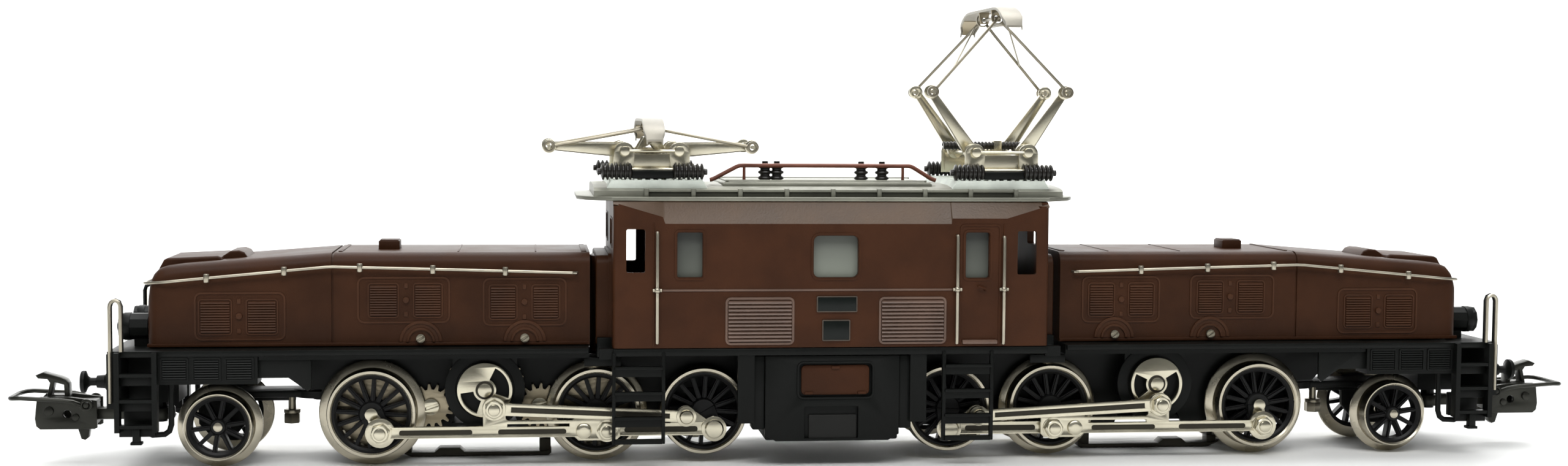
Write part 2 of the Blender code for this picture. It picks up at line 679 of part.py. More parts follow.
def make_hood_handrail(end):
    sign = ENDS[end]
    y = HOOD_HALF_WIDTH + 0.9
    flank = [(40.4, 30.3), (77.6, 31.3), (100.5, 29.2)]
    near = [(sign * u, -y, z) for u, z in flank]
    far = [(sign * u, y, z) for u, z in reversed(flank)]
    nose = [(103.6, 10.9, 28.9), (105.4, 9.2, 28.7), (105.9, 6.5, 28.6)]
    front = [(sign * u, -w, z) for u, w, z in nose]
    front += [(sign * u, w, z) for u, w, z in reversed(nose)]
    rail = wire(near + front + far, 0.28, 0)
    clamps = []
    for side in SIDES.values():
        for u, z in ((50.8, 30.58), (61.9, 30.88), (73.0, 31.18), (84.4, 30.68), (96.0, 29.61)):
            clamps.append(box((sign * (u - 0.4), sign * (u + 0.4)),
                              (side * (HOOD_HALF_WIDTH + 0.15), side * (y + 0.4)), (z - 0.4, z + 0.4)))
    publish(joined(rail, *clamps), "hood_handrail_" + end, NICKEL, bogie_pivot(end))


def make_buffer(end, side):
    sign = ENDS[end]
    foot = 110.45
    reach = BUFFER_FACE - foot
    profile = [(0, reach), (1.7, reach), (1.7, reach - 0.9), (0.95, reach - 1.1), (0.95, 0), (0, 0)]
    buffer = turned("z", (0, 0, 0), profile, 12)
    direction = Matrix.Rotation(math.radians(90 * sign), 4, "Y")
    place = Matrix.Translation((sign * foot * MM, SIDES[side] * 10.0 * MM, 13.75 * MM))
    buffer.data.transform(place @ direction)
    publish(buffer, f"buffer_{side}_{end}", BLACK, bogie_pivot(end))


def wheel_profile(rim, tread, axle):
    half = [(tread, WHEEL_FACE)]
    if rim > tread + 0.5:
        half.append((tread, 7.7))
    half += [(rim, 7.5), (rim, WHEEL_BACK), (axle, WHEEL_BACK)]
    return [(0, half[0][1])] + half + [(r, -h) for r, h in reversed(half)] + [(0, -half[0][1])]


def crank_pins(end, x, z, start, stop):
    pins = []
    for word, side in SIDES.items():
        dx, dz = crank(end, word)
        pins.append(rod("y", (x + dx, side * start, z + dz), side * (stop - start), PIN_R, 8))
    return pins


def gear_ring(centre, phase):
    return plate(toothed(centre, WHEEL_TEETH, phase), GEAR_Y)


def make_driver(end, name):
    sign = ENDS[end]
    centre = (sign * DRIVER_U[name], AXLE_Z)
    profile = wheel_profile(DRIVER_RIM[name], TREAD_R, 1.2)
    wheels = turned("y", (centre[0], 0, centre[1]), profile, WHEEL_STEPS)
    reach = REAR_ROD_Y[1] + 0.7 if name == "inner" else FRONT_ROD_Y[1] + 0.7
    pieces = crank_pins(end, centre[0], centre[1], 9.0, reach)
    if end == "left" and name in IDLER:
        pieces.append(gear_ring(centre, AXLE_PHASE[name]))
        pieces.append(rod("y", (centre[0], -6.3, centre[1]), -1.0, 2.0))
    publish(joined(wheels, *pieces), f"driver_{name}_{end}", STEEL, (centre[0], 0, centre[1]))


def make_pilot_wheels(end):
    centre = (ENDS[end] * PILOT_U, 0, PILOT_R)
    wheels = turned("y", centre, wheel_profile(PILOT_R, PILOT_TREAD_R, 0.75), WHEEL_STEPS)
    publish(wheels, "pilot_wheels_" + end, STEEL, centre)


def make_jackshaft(end):
    x = ENDS[end] * JACK_U
    half = [(4.3, 10.7), (4.3, 9.7), (1.2, 9.7)]
    profile = [(0, 10.7)] + half + [(r, -h) for r, h in reversed(half)] + [(0, -10.7)]
    shaft = turned("y", (x, 0, JACK_Z), profile, 20)
    pieces = crank_pins(end, x, JACK_Z, 10.2, UPPER_ROD_Y[1] + 0.3)
    if end == "left":
        pieces.append(gear_ring((x, JACK_Z), SHAFT_PHASE))
    publish(joined(shaft, *pieces), "jackshaft_" + end, NICKEL, (x, 0, JACK_Z))


def rod_placer(end, side):
    """Maps points of the rod drawing, (u, height over the axles), to the rod at its rest crank."""
    sign = ENDS[end]
    dx, dz = crank(end, side)
    return lambda points: [(sign * u + dx, AXLE_Z + w + dz) for u, w in points]


def make_front_rod(end, side):
    """Rod plate from the outer driver to the middle one, with the post up to the jackshaft pin."""
    outer_u, middle_u = DRIVER_U["outer"], DRIVER_U["middle"]
    jack = (JACK_U, JACK_Z - AXLE_Z)
    bar, eye = 0.9, 2.3
    spread = 180 - math.degrees(math.asin(bar / eye))
    outline = arc((outer_u, 0), eye, -spread, spread, 9)
    outline += [(jack[0] + 1.75, bar)] + arc(jack, 1.75, 0, 180, 6)
    outline += [(jack[0] - 1.75, 1.95), (41.9, 1.95), (41.4, 2.4), (35.0, 2.4), (34.8, -0.8), (35.5, -1.5),
                (41.0, -1.5), (41.4, -bar)]
    window = [(jack[0] - 1.75, bar), (jack[0] - 1.75, 1.55), (42.0, 1.55), (42.0, bar)]
    place = rod_placer(end, side)
    holes = [place(window)]
    for point in ((outer_u, 0), jack, (JOINT_PIN_U, 0), (middle_u, 0)):
        holes.append(circle(place([point])[0], PIN_HOLE_R))
    y = [SIDES[side] * value for value in FRONT_ROD_Y]
    pin = place([(outer_u, 0)])[0]
    publish(plate(place(outline), y, holes), f"front_rod_{side}_{end}", NICKEL, (pin[0], y[0], pin[1]))


def make_rear_rod(end, side):
    """Rear rod from the joint pin to the inner driver, with the upper rod riveted to it."""
    place = rod_placer(end, side)
    sign = SIDES[side]
    inner_u = DRIVER_U["inner"]
    jack = (JACK_U, JACK_Z - AXLE_Z)
    bar, eye = 1.0, 1.75
    spread = math.degrees(math.asin(bar / eye))
    outline = [(34.6, -bar), (35.0, -1.4), (41.1, -1.4), (41.1, 2.0), (35.0, 2.0), (34.6, bar),
               (BALL_PIN[0] + 2.4, bar), (BALL_PIN[0] + 0.6, BALL_PIN[1] + 1.2),
               (BALL_PIN[0] - 0.8, BALL_PIN[1] + 1.2)]
    outline += arc((inner_u, 0), eye, spread, 360 - spread, 8)
    rear_y = [sign * value for value in REAR_ROD_Y]
    holes = [circle(place([(DRIVER_U[name], 0)])[0], PIN_HOLE_R) for name in ("middle", "inner")]
    rear = plate(place(outline), rear_y, holes)
    upper_y = [sign * value for value in UPPER_ROD_Y]
    thickness = upper_y[1] - upper_y[0]
    arm = plate(place(slanted(jack, BALL_PIN, 0.98, 0.9)),
                (upper_y[0] + sign * 0.05, upper_y[1] - sign * 0.05))
    jack_eye = rod("y", axis_point(place, jack, upper_y[0]), thickness, 1.85, 10)
    ball_eye = rod("y", axis_point(place, BALL_PIN, upper_y[0]), thickness + sign * 0.2, 1.6, 8)
    rivet = rod("y", axis_point(place, BALL_PIN, sign * 11.2), sign * 1.8, 1.1, 8)
    joint = rod("y", axis_point(place, (JOINT_PIN_U, 0), sign * 11.2), sign * 1.6, 0.75, 8)
    hole = rod("y", axis_point(place, jack, sign * 12.2), sign * 2.0, PIN_HOLE_R, 8)
    whole = cut(joined(rear, arm, jack_eye, ball_eye, rivet, joint), hole)
    pin = place([(inner_u, 0)])[0]
    publish(whole, f"rear_rod_{side}_{end}", NICKEL, (pin[0], rear_y[0], pin[1]))


def axis_point(place, point, y):
    x, z = place([point])[0]
    return x, y, z


def make_pickup_shoe(end):
    sign = ENDS[end]
    ski = [(44.0, 0.15), (66.0, 0.15), (67.8, 0.9), (67.8, 1.2), (62.2, 1.2), (61.4, 1.85),
           (58.2, 1.85), (57.4, 1.2), (43.6, 1.2), (43.6, 0.5)]
    pieces = [rod("z", (sign * u, 0, 0.8), 6.2, 0.5, 8) for u in SHOE_POST_U]
    holder = box((sign * 43.7, sign * 45.5), (-1.2, 1.2), (1.0, 2.8))
    whole = joined(plate(mirrored(sign, ski), (-1.5, 1.5)), holder, *pieces)
    publish(whole, "pickup_shoe_" + end, STEEL, (sign * JACK_U, 0, 1.2))


def make_pilot_truck(end):
    sign = ENDS[end]
    arm = box((sign * 79.0, sign * 97.3), (-4.4, 4.4), (10.0, 11.2))
    nose = rod("z", (sign * PILOT_PIVOT_U, 0, 10.0), 1.2, 4.4, 12)
    cheeks = [box((sign * 92.2, sign * 97.3), (side * 3.4, side * 4.4), (5.2, 10.5))
              for side in SIDES.values()]
    weight = rod("z", (sign * 84.6, 0, 5.5), 2.3, 1.3, 10)
    stem = rod("z", (sign * 84.6, 0, 7.0), 3.5, 0.6, 8)
    hole = rod("z", (sign * PILOT_PIVOT_U, 0, 9), 3, 1.7, 14)
    axle_hole = rod("y", (sign * PILOT_U, -6, PILOT_R), 12, 1.0, 12)
    whole = cut(joined(arm, nose, *cheeks, weight, stem), hole, axle_hole)
    publish(whole, "pilot_truck_" + end, BLACK, (sign * PILOT_PIVOT_U, 0, 10.6))


def make_coupler(end):
    sign = ENDS[end]
    eye = rod("z", (sign * COUPLER_PIVOT_U, 0, 6.6), 1.8, 2.3, 14)
    shank = box((sign * 105.5, sign * 115.0), (-1.3, 1.3), (6.6, 8.4))
    head_outline = [(114.2, 5.4), (123.2, 5.4), (123.6, 7.0), (123.2, 10.4), (118.5, 10.4),
                    (114.2, 9.8)]
    hook_outline = [(119.0, 10.0), (119.8, 13.4), (123.6, 13.6), (123.4, 12.7), (120.9, 12.4),
                    (121.2, 10.0)]
    tail_outline = [(115.6, 5.8), (116.0, 3.3), (117.0, 3.3), (117.6, 5.8)]
    head = plate(mirrored(sign, head_outline), (-2.6, 2.6))
    hook = plate(mirrored(sign, hook_outline), (-1.0, 1.0))
    tail = plate(mirrored(sign, tail_outline), (-0.8, 0.8))
    hinge = rod("y", (sign * LOOP_HINGE[0], -3.9, LOOP_HINGE[1]), 7.8, 0.4, 8)
    hole = rod("z", (sign * COUPLER_PIVOT_U, 0, 6), 3, 1.4, 14)
    whole = cut(joined(eye, shank, head, hook, tail, hinge), hole)
    publish(whole, "coupler_" + end, BRONZE, (sign * COUPLER_PIVOT_U, 0, 7.5))


def make_coupler_loop(end):
    sign = ENDS[end]
    u, z = LOOP_HINGE
    half, tip = 4.4, LOOP_TIP - 0.4
    route = []
    for side in (-1, 1):
        leg = [(u + 0.9, side * 3.55, z + 0.1), (119.0, side * half, z + 0.9),
               (125.2, side * half, z + 1.3), (tip - 0.5, side * (half - 0.5), z + 1.2),
               (tip, side * (half - 1.6), z + 1.1)]
        route += [(sign * a, b, c) for a, b, c in (leg if side < 0 else reversed(leg))]
    hinge = (sign * u, z)
    eyes = [plate(circle(hinge, 1.0), (side * 3.2, side * 3.8), [circle(hinge, 0.6)])
            for side in SIDES.values()]
    publish(joined(wire(route, 0.35), *eyes), "coupler_loop_" + end, BRONZE, (sign * u, 0, z))


def make_bogie(end):
    make_bogie_frame(end)
    make_hood(end)
    make_hood_handrail(end)
    for name in DRIVER_U:
        make_driver(end, name)
    make_pilot_wheels(end)
    make_jackshaft(end)
    for side in SIDES:
        make_buffer(end, side)
        make_front_rod(end, side)
        make_rear_rod(end, side)
    make_pickup_shoe(end)
    make_pilot_truck(end)
    make_coupler(end)
    make_coupler_loop(end)


# Motor and gears of the powered bogie

def make_idler(name):
    centre = IDLER[name]
    gear = plate(toothed(centre, IDLER_TEETH, IDLER_PHASE[name]), GEAR_Y, [circle(centre, 0.95)])
    publish(gear, "idler_gear_" + name, NICKEL, (centre[0], GEAR_Y[0], centre[1]))


def make_motor():
    x, z = PINION
    field = box((x - 8.0, x + 8.0), (-3.6, 3.6), (13.8, 30.0))
    bore = rod("y", (x, -5, z), 10, 5.5, 20)
    publish(cut(field, bore), "motor_field", STEEL, bogie_pivot("left"))
    half = [(0.65, 5.7), (0.65, 3.4), (2.6, 3.4), (2.6, 2.4), (5.1, 2.4)]
    profile = [(0, 5.7)] + half + [(5.1, -3.2), (0.65, -3.2), (0.65, -6.9), (0, -6.9)]
    shaft = turned("y", (x, 0, z), profile, 12)
    pinion = plate(toothed(PINION, PINION_TEETH, PINION_PHASE), GEAR_Y)
    publish(joined(shaft, pinion), "motor_armature", COPPER, (x, 0, z))


def main():
    make_cab_body()
    make_cab_roof()
    make_cab_glazing()
    make_reversing_unit()
    make_centre_frame()
    make_equipment_box()
    make_roof_busbar()
    for end in ENDS:
        make_pantograph(end)
        make_bogie(end)
    for name in IDLER:
        make_idler(name)
    make_motor()


main()
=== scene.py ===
"""Looks of the articulated H0 electric locomotive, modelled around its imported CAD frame.

Shapes are drawn in millimetres in the CAD frame and scaled to metres in piece().
Each end is drawn once, with u the distance from the middle along X; the near side is at -Y.
"""
import json
import math

import bmesh
import bpy
from mathutils import Matrix, Vector


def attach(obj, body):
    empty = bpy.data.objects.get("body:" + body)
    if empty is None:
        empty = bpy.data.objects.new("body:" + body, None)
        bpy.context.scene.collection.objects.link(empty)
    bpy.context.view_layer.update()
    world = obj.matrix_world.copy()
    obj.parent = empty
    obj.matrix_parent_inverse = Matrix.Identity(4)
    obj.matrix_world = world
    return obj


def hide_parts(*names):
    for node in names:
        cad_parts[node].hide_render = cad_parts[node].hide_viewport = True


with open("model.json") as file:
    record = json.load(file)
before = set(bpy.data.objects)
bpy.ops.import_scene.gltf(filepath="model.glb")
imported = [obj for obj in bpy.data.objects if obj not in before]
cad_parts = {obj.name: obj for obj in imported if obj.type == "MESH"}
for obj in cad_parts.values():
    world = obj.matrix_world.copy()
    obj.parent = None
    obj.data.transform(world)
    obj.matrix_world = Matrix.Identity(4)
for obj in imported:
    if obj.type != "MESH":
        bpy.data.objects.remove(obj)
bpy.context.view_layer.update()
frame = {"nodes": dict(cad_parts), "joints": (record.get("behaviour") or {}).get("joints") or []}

MM = 0.001
ENDS = {"left": -1, "right": 1}
SIDES = {"near": -1, "far": 1}
PIVOT = {joint["child"]: Vector(joint["pos_m"]) / MM for joint in frame["joints"] if "pos_m" in joint}

# Wheels and rods
TREAD_R = 6.9
DRIVER_RIM = {"outer": 8.25, "middle": 8.0, "inner": 6.95}
DRIVER_U = {"outer": 71.45, "middle": 36.55, "inner": 19.7}
AXLE_Z = 8.25
PILOT_R = 6.5
JACK_U = 54.0
JACK_Z = 11.95
JOINT_PIN_U = 40.15
BALL_PIN = (24.2, 2.2)
PIN_R = 0.85
PIN_HOLE_R = 1.05
REAR_ROD_Y = (10.9, 11.6)
FRONT_ROD_Y = (11.8, 12.5)
UPPER_ROD_Y = (12.7, 13.4)

# Gears of the powered end
GEAR_MODULE = 0.4
WHEEL_TEETH = 29
IDLER_TEETH = 16
GEAR_Y = (-6.8, -5.8)
SHAFT_PHASE = 90.0

# Housings
CAB_HALF_LENGTH = 34.3
CAB_HALF_WIDTH = 16.5
HOOD_TOP = 33.4
HOOD_HALF_WIDTH = 10.5
COUPLER_PIVOT_U = 105.0
LOOP_TIP = 127.6
BUFFER_FOOT = 110.45
BUFFER_FACE = 115.0

# Pantographs
PANTO_X = 28.0
PANTO_PIVOT = (4.25, 49.3)


# Materials

def finish(name, tone, roughness, metallic=0.0, patch=0.15, patch_mm=6.0, relief=0.02, relief_mm=0.5,
           specular=0.4):
    """Procedural finish: patchy tone, uneven gloss and a fine relief, all from noise on the object."""
    made = bpy.data.materials.new(name)
    made.use_nodes = True
    nodes = made.node_tree.nodes
    link = made.node_tree.links.new
    shader = nodes["Principled BSDF"]
    shader.inputs["Metallic"].default_value = metallic
    shader.inputs["Specular IOR Level"].default_value = specular
    place = nodes.new("ShaderNodeTexCoord")

    broad = nodes.new("ShaderNodeTexNoise")
    broad.inputs["Scale"].default_value = 1.0 / (patch_mm * MM)
    broad.inputs["Detail"].default_value = 5.0
    link(place.outputs["Object"], broad.inputs["Vector"])
    tones = nodes.new("ShaderNodeValToRGB")
    low, high = tones.color_ramp.elements
    low.position, high.position = 0.35, 0.65
    low.color = (*[value * (1 - patch) for value in tone], 1.0)
    high.color = (*[value * (1 + patch) for value in tone], 1.0)
    link(broad.outputs["Fac"], tones.inputs["Fac"])
    link(tones.outputs["Color"], shader.inputs["Base Color"])

    fine = nodes.new("ShaderNodeTexNoise")
    fine.inputs["Scale"].default_value = 1.0 / (relief_mm * MM)
    fine.inputs["Detail"].default_value = 3.0
    link(place.outputs["Object"], fine.inputs["Vector"])
    gloss = nodes.new("ShaderNodeMapRange")
    gloss.inputs["To Min"].default_value = roughness * 0.8
    gloss.inputs["To Max"].default_value = min(1.0, roughness * 1.25)
    link(broad.outputs["Fac"], gloss.inputs["Value"])
    link(gloss.outputs["Result"], shader.inputs["Roughness"])
    bump = nodes.new("ShaderNodeBump")
    bump.inputs["Strength"].default_value = 0.6
    bump.inputs["Distance"].default_value = relief * MM
    link(fine.outputs["Fac"], bump.inputs["Height"])
    link(bump.outputs["Normal"], shader.inputs["Normal"])
    return made


def frosted_glass():
    """Milky sheet behind the windows, paler towards the sill, with painted shade that darkens it towards the cab ends.
    """
    made = finish("frosted glass", (0.2, 0.2, 0.15), 0.5, relief=0.01)
    nodes = made.node_tree.nodes
    link = made.node_tree.links.new
    place = nodes.new("ShaderNodeTexCoord")
    split = nodes.new("ShaderNodeSeparateXYZ")
    link(place.outputs["Object"], split.inputs["Vector"])
    height = nodes.new("ShaderNodeMapRange")
    height.inputs["From Min"].default_value = 29.0 * MM
    height.inputs["From Max"].default_value = 37.0 * MM
    link(split.outputs["Z"], height.inputs["Value"])
    tones = nodes.new("ShaderNodeValToRGB")
    tones.color_ramp.elements[0].color = (0.25, 0.27, 0.225, 1.0)
    tones.color_ramp.elements[1].color = (0.07, 0.073, 0.066, 1.0)
    link(height.outputs["Result"], tones.inputs["Fac"])
    # Painted shade: a ramp on the distance from the middle darkens the glass to 0.42 between 5 mm and 24 mm out, so
    # windows near the cab ends read as less lit.
    along = nodes.new("ShaderNodeMath")
    along.operation = "ABSOLUTE"
    link(split.outputs["X"], along.inputs[0])
    end_shade = nodes.new("ShaderNodeValToRGB")
    near, far = end_shade.color_ramp.elements
    near.position, far.position = 5.0 * MM, 24.0 * MM
    near.color, far.color = (1.0, 1.0, 1.0, 1.0), (0.42, 0.42, 0.42, 1.0)
    link(along.outputs[0], end_shade.inputs["Fac"])
    shade = nodes.new("ShaderNodeMix")
    shade.data_type = "RGBA"
    shade.blend_type = "MULTIPLY"
    shade.inputs[0].default_value = 1.0
    link(tones.outputs["Color"], shade.inputs[6])
    link(end_shade.outputs["Color"], shade.inputs[7])
    link(shade.outputs[2], nodes["Principled BSDF"].inputs["Base Color"])
    return made


BROWN = finish("brown paint on the cab", (0.046, 0.0158, 0.006), 0.45, relief=0.04, relief_mm=0.3, specular=0.13)
# Eave band: a lighter copy of the cab brown, a painted sheen for the light that the upward-sloping band catches from
# above.
EAVE_SHEEN_BROWN = finish("brown paint lightened with painted sheen under the roof", (0.086, 0.052, 0.031), 0.4, relief=0.05, relief_mm=0.3)
HOOD_BROWN = finish("brown paint on the hoods", (0.038, 0.0136, 0.0052), 0.45, relief=0.04, relief_mm=0.3,
                    specular=0.13)
# Hood panel beads, louvres and boss rings: brown partly rubbed, partly lightened as painted highlight on the raised
# edges.
HOOD_BEAD = finish("brown paint rubbed on the hood panels", (0.054, 0.021, 0.0092), 0.48, relief=0.03, relief_mm=0.3,
                   specular=0.15)
# Belt line, step and louvre slats: brown partly worn, partly lightened as painted highlight where the slat tops catch
# the light.
WORN_AND_HIGHLIT = finish("brown paint worn on raised edges", (0.118, 0.07, 0.05), 0.36, relief=0.03, relief_mm=0.3)
SILVER = finish("silver roof paint", (0.21, 0.21, 0.172), 0.42, 0.5, relief=0.03, relief_mm=0.3)
PALE = finish("pale roof walkway", (0.62, 0.66, 0.6), 0.5, 0.2, relief=0.05, relief_mm=0.4)
SLOT = finish("dark roof slots", (0.045, 0.045, 0.032), 0.5)
GLASS = frosted_glass()
BLACK = finish("black frame paint", (0.0036, 0.0042, 0.0036), 0.42, relief=0.02, specular=0.15)
BLACK_PLATE = finish("blank plate enamel", (0.004, 0.006, 0.005), 0.3, relief=0.005, specular=0.2)
PLATE_RIM = finish("worn plate rim", (0.07, 0.055, 0.042), 0.35, 0.3)
RUBBER = finish("dark guard ring", (0.009, 0.009, 0.008), 0.55, specular=0.25)
SPOKE_BLACK = finish("black wheel centre", (0.004, 0.004, 0.004), 0.4, specular=0.2)
STEEL = finish("bright tyre steel", (0.48, 0.44, 0.35), 0.26, 1.0, patch=0.12, relief=0.008, relief_mm=0.3)
NICKEL = finish("nickel plate", (0.6, 0.56, 0.44), 0.24, 1.0, patch=0.12, relief=0.006, relief_mm=0.4)
GROOVE = finish("tarnish in the rod flutes", (0.035, 0.031, 0.022), 0.5, 0.5)
GEAR = finish("grey gear metal", (0.36, 0.31, 0.22), 0.36, 1.0, patch=0.12)
COPPER = finish("copper brown lacquer", (0.14, 0.046, 0.027), 0.35, 0.3, patch=0.2)
CERAMIC = finish("black insulator", (0.016, 0.014, 0.012), 0.3, patch=0.25)
BRONZE = finish("blackened coupler metal", (0.026, 0.026, 0.021), 0.34, 0.65, patch=0.25)
LENS = finish("dark lamp lens", (0.02, 0.02, 0.018), 0.12)
COIL = finish("black spring", (0.02, 0.018, 0.015), 0.3, 0.4)
BOW_PALE = finish("pale bow face", (0.3, 0.28, 0.235), 0.42, 0.4)
RAIL = finish("nickel handrail", (0.4, 0.365, 0.29), 0.3, 0.9, patch=0.15)
WIRE = finish("dull nickel wire", (0.26, 0.235, 0.18), 0.32, 0.9, patch=0.2)


# Shapes in millimetres, each returned as a mesh

TURN = {
    "x": Matrix.Rotation(math.radians(90), 4, "Y"),
    "y": Matrix.Rotation(math.radians(-90), 4, "X"),
    "z": Matrix.Identity(4),
}
PLANES = {
    "xz": Matrix(((1, 0, 0, 0), (0, 0, -1, 0), (0, 1, 0, 0), (0, 0, 0, 1))),
    "xy": Matrix.Identity(4),
    "yz": Matrix(((0, 0, 1, 0), (1, 0, 0, 0), (0, 1, 0, 0), (0, 0, 0, 1))),
}
OUT_OF_PLANE = {"xz": 1, "xy": 2, "yz": 0}


def finished(bm):
    bmesh.ops.recalc_face_normals(bm, faces=bm.faces)
    mesh = bpy.data.meshes.new("shape")
    bm.to_mesh(mesh)
    bm.free()
    return mesh


def block(x, y, z, bevel=0.0):
    """Box between the two values of x, of y and of z, with rounded edges."""
    low = Vector((min(x), min(y), min(z)))
    high = Vector((max(x), max(y), max(z)))
    bm = bmesh.new()
    bmesh.ops.create_cube(bm, size=1.0)
    bmesh.ops.scale(bm, vec=high - low, verts=bm.verts)
    bmesh.ops.translate(bm, vec=(high + low) / 2, verts=bm.verts)
    if bevel:
        bmesh.ops.bevel(bm, geom=bm.edges[:], offset=bevel, segments=2, profile=0.5, affect="EDGES")
    return finished(bm)


def rod(axis, start, length, radius, end_radius=None, bevel=0.0, segments=24):
    """Cylinder or cone from start along an axis, towards + or - with the sign of length."""
    direction = TURN[axis] @ Vector((0, 0, 1))
    middle = Vector(start) + direction * length / 2
    tip = radius if end_radius is None else end_radius
    lower, upper = (radius, tip) if length > 0 else (tip, radius)
    bm = bmesh.new()
    bmesh.ops.create_cone(bm, cap_ends=True, segments=segments, radius1=lower, radius2=upper,
                          depth=abs(length))
    if bevel:
        rims = [e for e in bm.edges if abs(e.verts[0].co.z - e.verts[1].co.z) < abs(length) / 2]
        bmesh.ops.bevel(bm, geom=rims, offset=bevel, segments=2, profile=0.5, affect="EDGES")
    bmesh.ops.transform(bm, matrix=Matrix.Translation(middle) @ TURN[axis], verts=bm.verts)
    return finished(bm)


def ball(centre, radius):
    bm = bmesh.new()
    bmesh.ops.create_uvsphere(bm, u_segments=16, v_segments=10, radius=radius,
                              matrix=Matrix.Translation(Vector(centre)))
    return finished(bm)


def lathe(axis, centre, profile, steps=48, closed=False):
    """Turned shape: profile holds (radius, height along the axis); closed makes a ring."""
    bm = bmesh.new()
    points = [bm.verts.new((radius, 0, height)) for radius, height in profile]
    pairs = list(zip(points, points[1:]))
    if closed:
        pairs.append((points[-1], points[0]))
    edges = [bm.edges.new(pair) for pair in pairs]
    bmesh.ops.spin(bm, geom=points + edges, cent=(0, 0, 0), axis=(0, 0, 1),
                   angle=2 * math.pi, steps=steps, use_merge=True)
    bmesh.ops.remove_doubles(bm, verts=bm.verts, dist=0.0005)
    place = Matrix.Translation(Vector(centre)) @ TURN[axis]
    bmesh.ops.transform(bm, matrix=place, verts=bm.verts)
    return finished(bm)


def from_curve(curve, place):
    holder = bpy.data.objects.new("curve", curve)
    bm = bmesh.new()
    bm.from_mesh(holder.to_mesh())
    bpy.data.objects.remove(holder)
    bpy.data.curves.remove(curve)
    bmesh.ops.remove_doubles(bm, verts=bm.verts, dist=0.0005)
    bmesh.ops.transform(bm, matrix=place, verts=bm.verts)
    return finished(bm)


def plate(plane, outline, span, holes=(), bevel=0.0):
    """Flat plate with holes in one of the planes, between the two values of span across it."""
    curve = bpy.data.curves.new("outline", "CURVE")
    curve.dimensions = "2D"
    curve.fill_mode = "BOTH"
    curve.extrude = abs(span[1] - span[0]) / 2 - bevel
    curve.bevel_depth = bevel
    curve.bevel_resolution = 1
    curve.offset = -bevel
    for points in (outline, *holes):
        spline = curve.splines.new("POLY")
        spline.points.add(len(points) - 1)
        for point, (a, b) in zip(spline.points, points):
            point.co = (a, b, 0.0, 1.0)
        spline.use_cyclic_u = True
    middle = [0.0, 0.0, 0.0]
    middle[OUT_OF_PLANE[plane]] = (span[0] + span[1]) / 2
    return from_curve(curve, Matrix.Translation(Vector(middle)) @ PLANES[plane])


def tube(points, radius, closed=False, resolution=2):
    """Round wire through the points."""
    curve = bpy.data.curves.new("wire", "CURVE")
    curve.dimensions = "3D"
    curve.bevel_depth = radius
    curve.bevel_resolution = resolution
    curve.use_fill_caps = True
    spline = curve.splines.new("POLY")
    spline.points.add(len(points) - 1)
    for point, place in zip(spline.points, points):
        point.co = (*place, 1.0)
    spline.use_cyclic_u = closed
    return from_curve(curve, Matrix.Identity(4))


def loft(sections):
    """Solid skinned through closed loops of equal length, with both ends capped."""
    bm = bmesh.new()
    rings = [[bm.verts.new(point) for point in section] for section in sections]
    for first, second in zip(rings, rings[1:]):
        for i, corner in enumerate(first):
            j = (i + 1) % len(first)
            bm.faces.new((corner, first[j], second[j], second[i]))
    bm.faces.new(rings[0])
    bm.faces.new(list(reversed(rings[-1])))
    return finished(bm)


def arc(centre, radius, start, stop, count):
    """Points on an arc, with start and stop in degrees."""
    angles = [math.radians(start + (stop - start) * i / (count - 1)) for i in range(count)]
    return [(centre[0] + radius * math.cos(a), centre[1] + radius * math.sin(a)) for a in angles]


def circle(centre, radius, count=24):
    return arc(centre, radius, 0, 360 * (count - 1) / count, count)


def rounded(first, second, radius, count=5):
    """Rectangle between two pairs of values, with round corners."""
    a, b = sorted(first)
    c, d = sorted(second)
    corners = [((b - radius, d - radius), 0), ((a + radius, d - radius), 90),
               ((a + radius, c + radius), 180), ((b - radius, c + radius), 270)]
    points = []
    for centre, start in corners:
        points += arc(centre, radius, start, start + 90, count)
    return points


def outline_bead(plane, first, second, radius, width, span):
    """Thin raised line round a rounded rectangle."""
    a, b = sorted(first)
    c, d = sorted(second)
    inside = rounded((a + width, b - width), (c + width, d - width), max(0.05, radius - width))
    return plate(plane, rounded(first, second, radius), span, [inside])


def louvres(x, z, count, face, depth, out):
    """Patch of slats standing out of the side wall at y = out * face."""
    low, high = sorted(z)
    pitch = (high - low) / count
    points = [(face - depth * 0.4, high), (face - depth * 0.4, low)]
    for i in range(count):
        foot = low + i * pitch
        points += [(face + depth, foot + pitch * 0.1), (face + depth * 0.9, foot + pitch * 0.35),
                   (face, foot + pitch * 0.9)]
    return plate("yz", [(out * y, height) for y, height in points], x)


def toothed(centre, teeth, phase):
    """Gear outline with straight-sided teeth; phase is a tooth's direction in degrees."""
    pitch = GEAR_MODULE * teeth / 2
    tip = pitch + 0.9 * GEAR_MODULE
    root = pitch - 1.2 * GEAR_MODULE
    step = 360.0 / teeth
    points = []
    for i in range(teeth):
        middle = phase + i * step
        for radius, part in ((root, -0.33), (tip, -0.11), (tip, 0.11), (root, 0.33)):
            points.append(arc(centre, radius, middle + part * step, 0, 2)[0])
    return points


def slanted(a, b, half_a, half_b):
    """Four corners of a bar from a to b with its half heights at the two ends."""
    length = math.dist(a, b)
    nx, nz = -(b[1] - a[1]) / length, (b[0] - a[0]) / length
    return [(a[0] + nx * half_a, a[1] + nz * half_a), (a[0] - nx * half_a, a[1] - nz * half_a),
            (b[0] - nx * half_b, b[1] - nz * half_b), (b[0] + nx * half_b, b[1] + nz * half_b)]


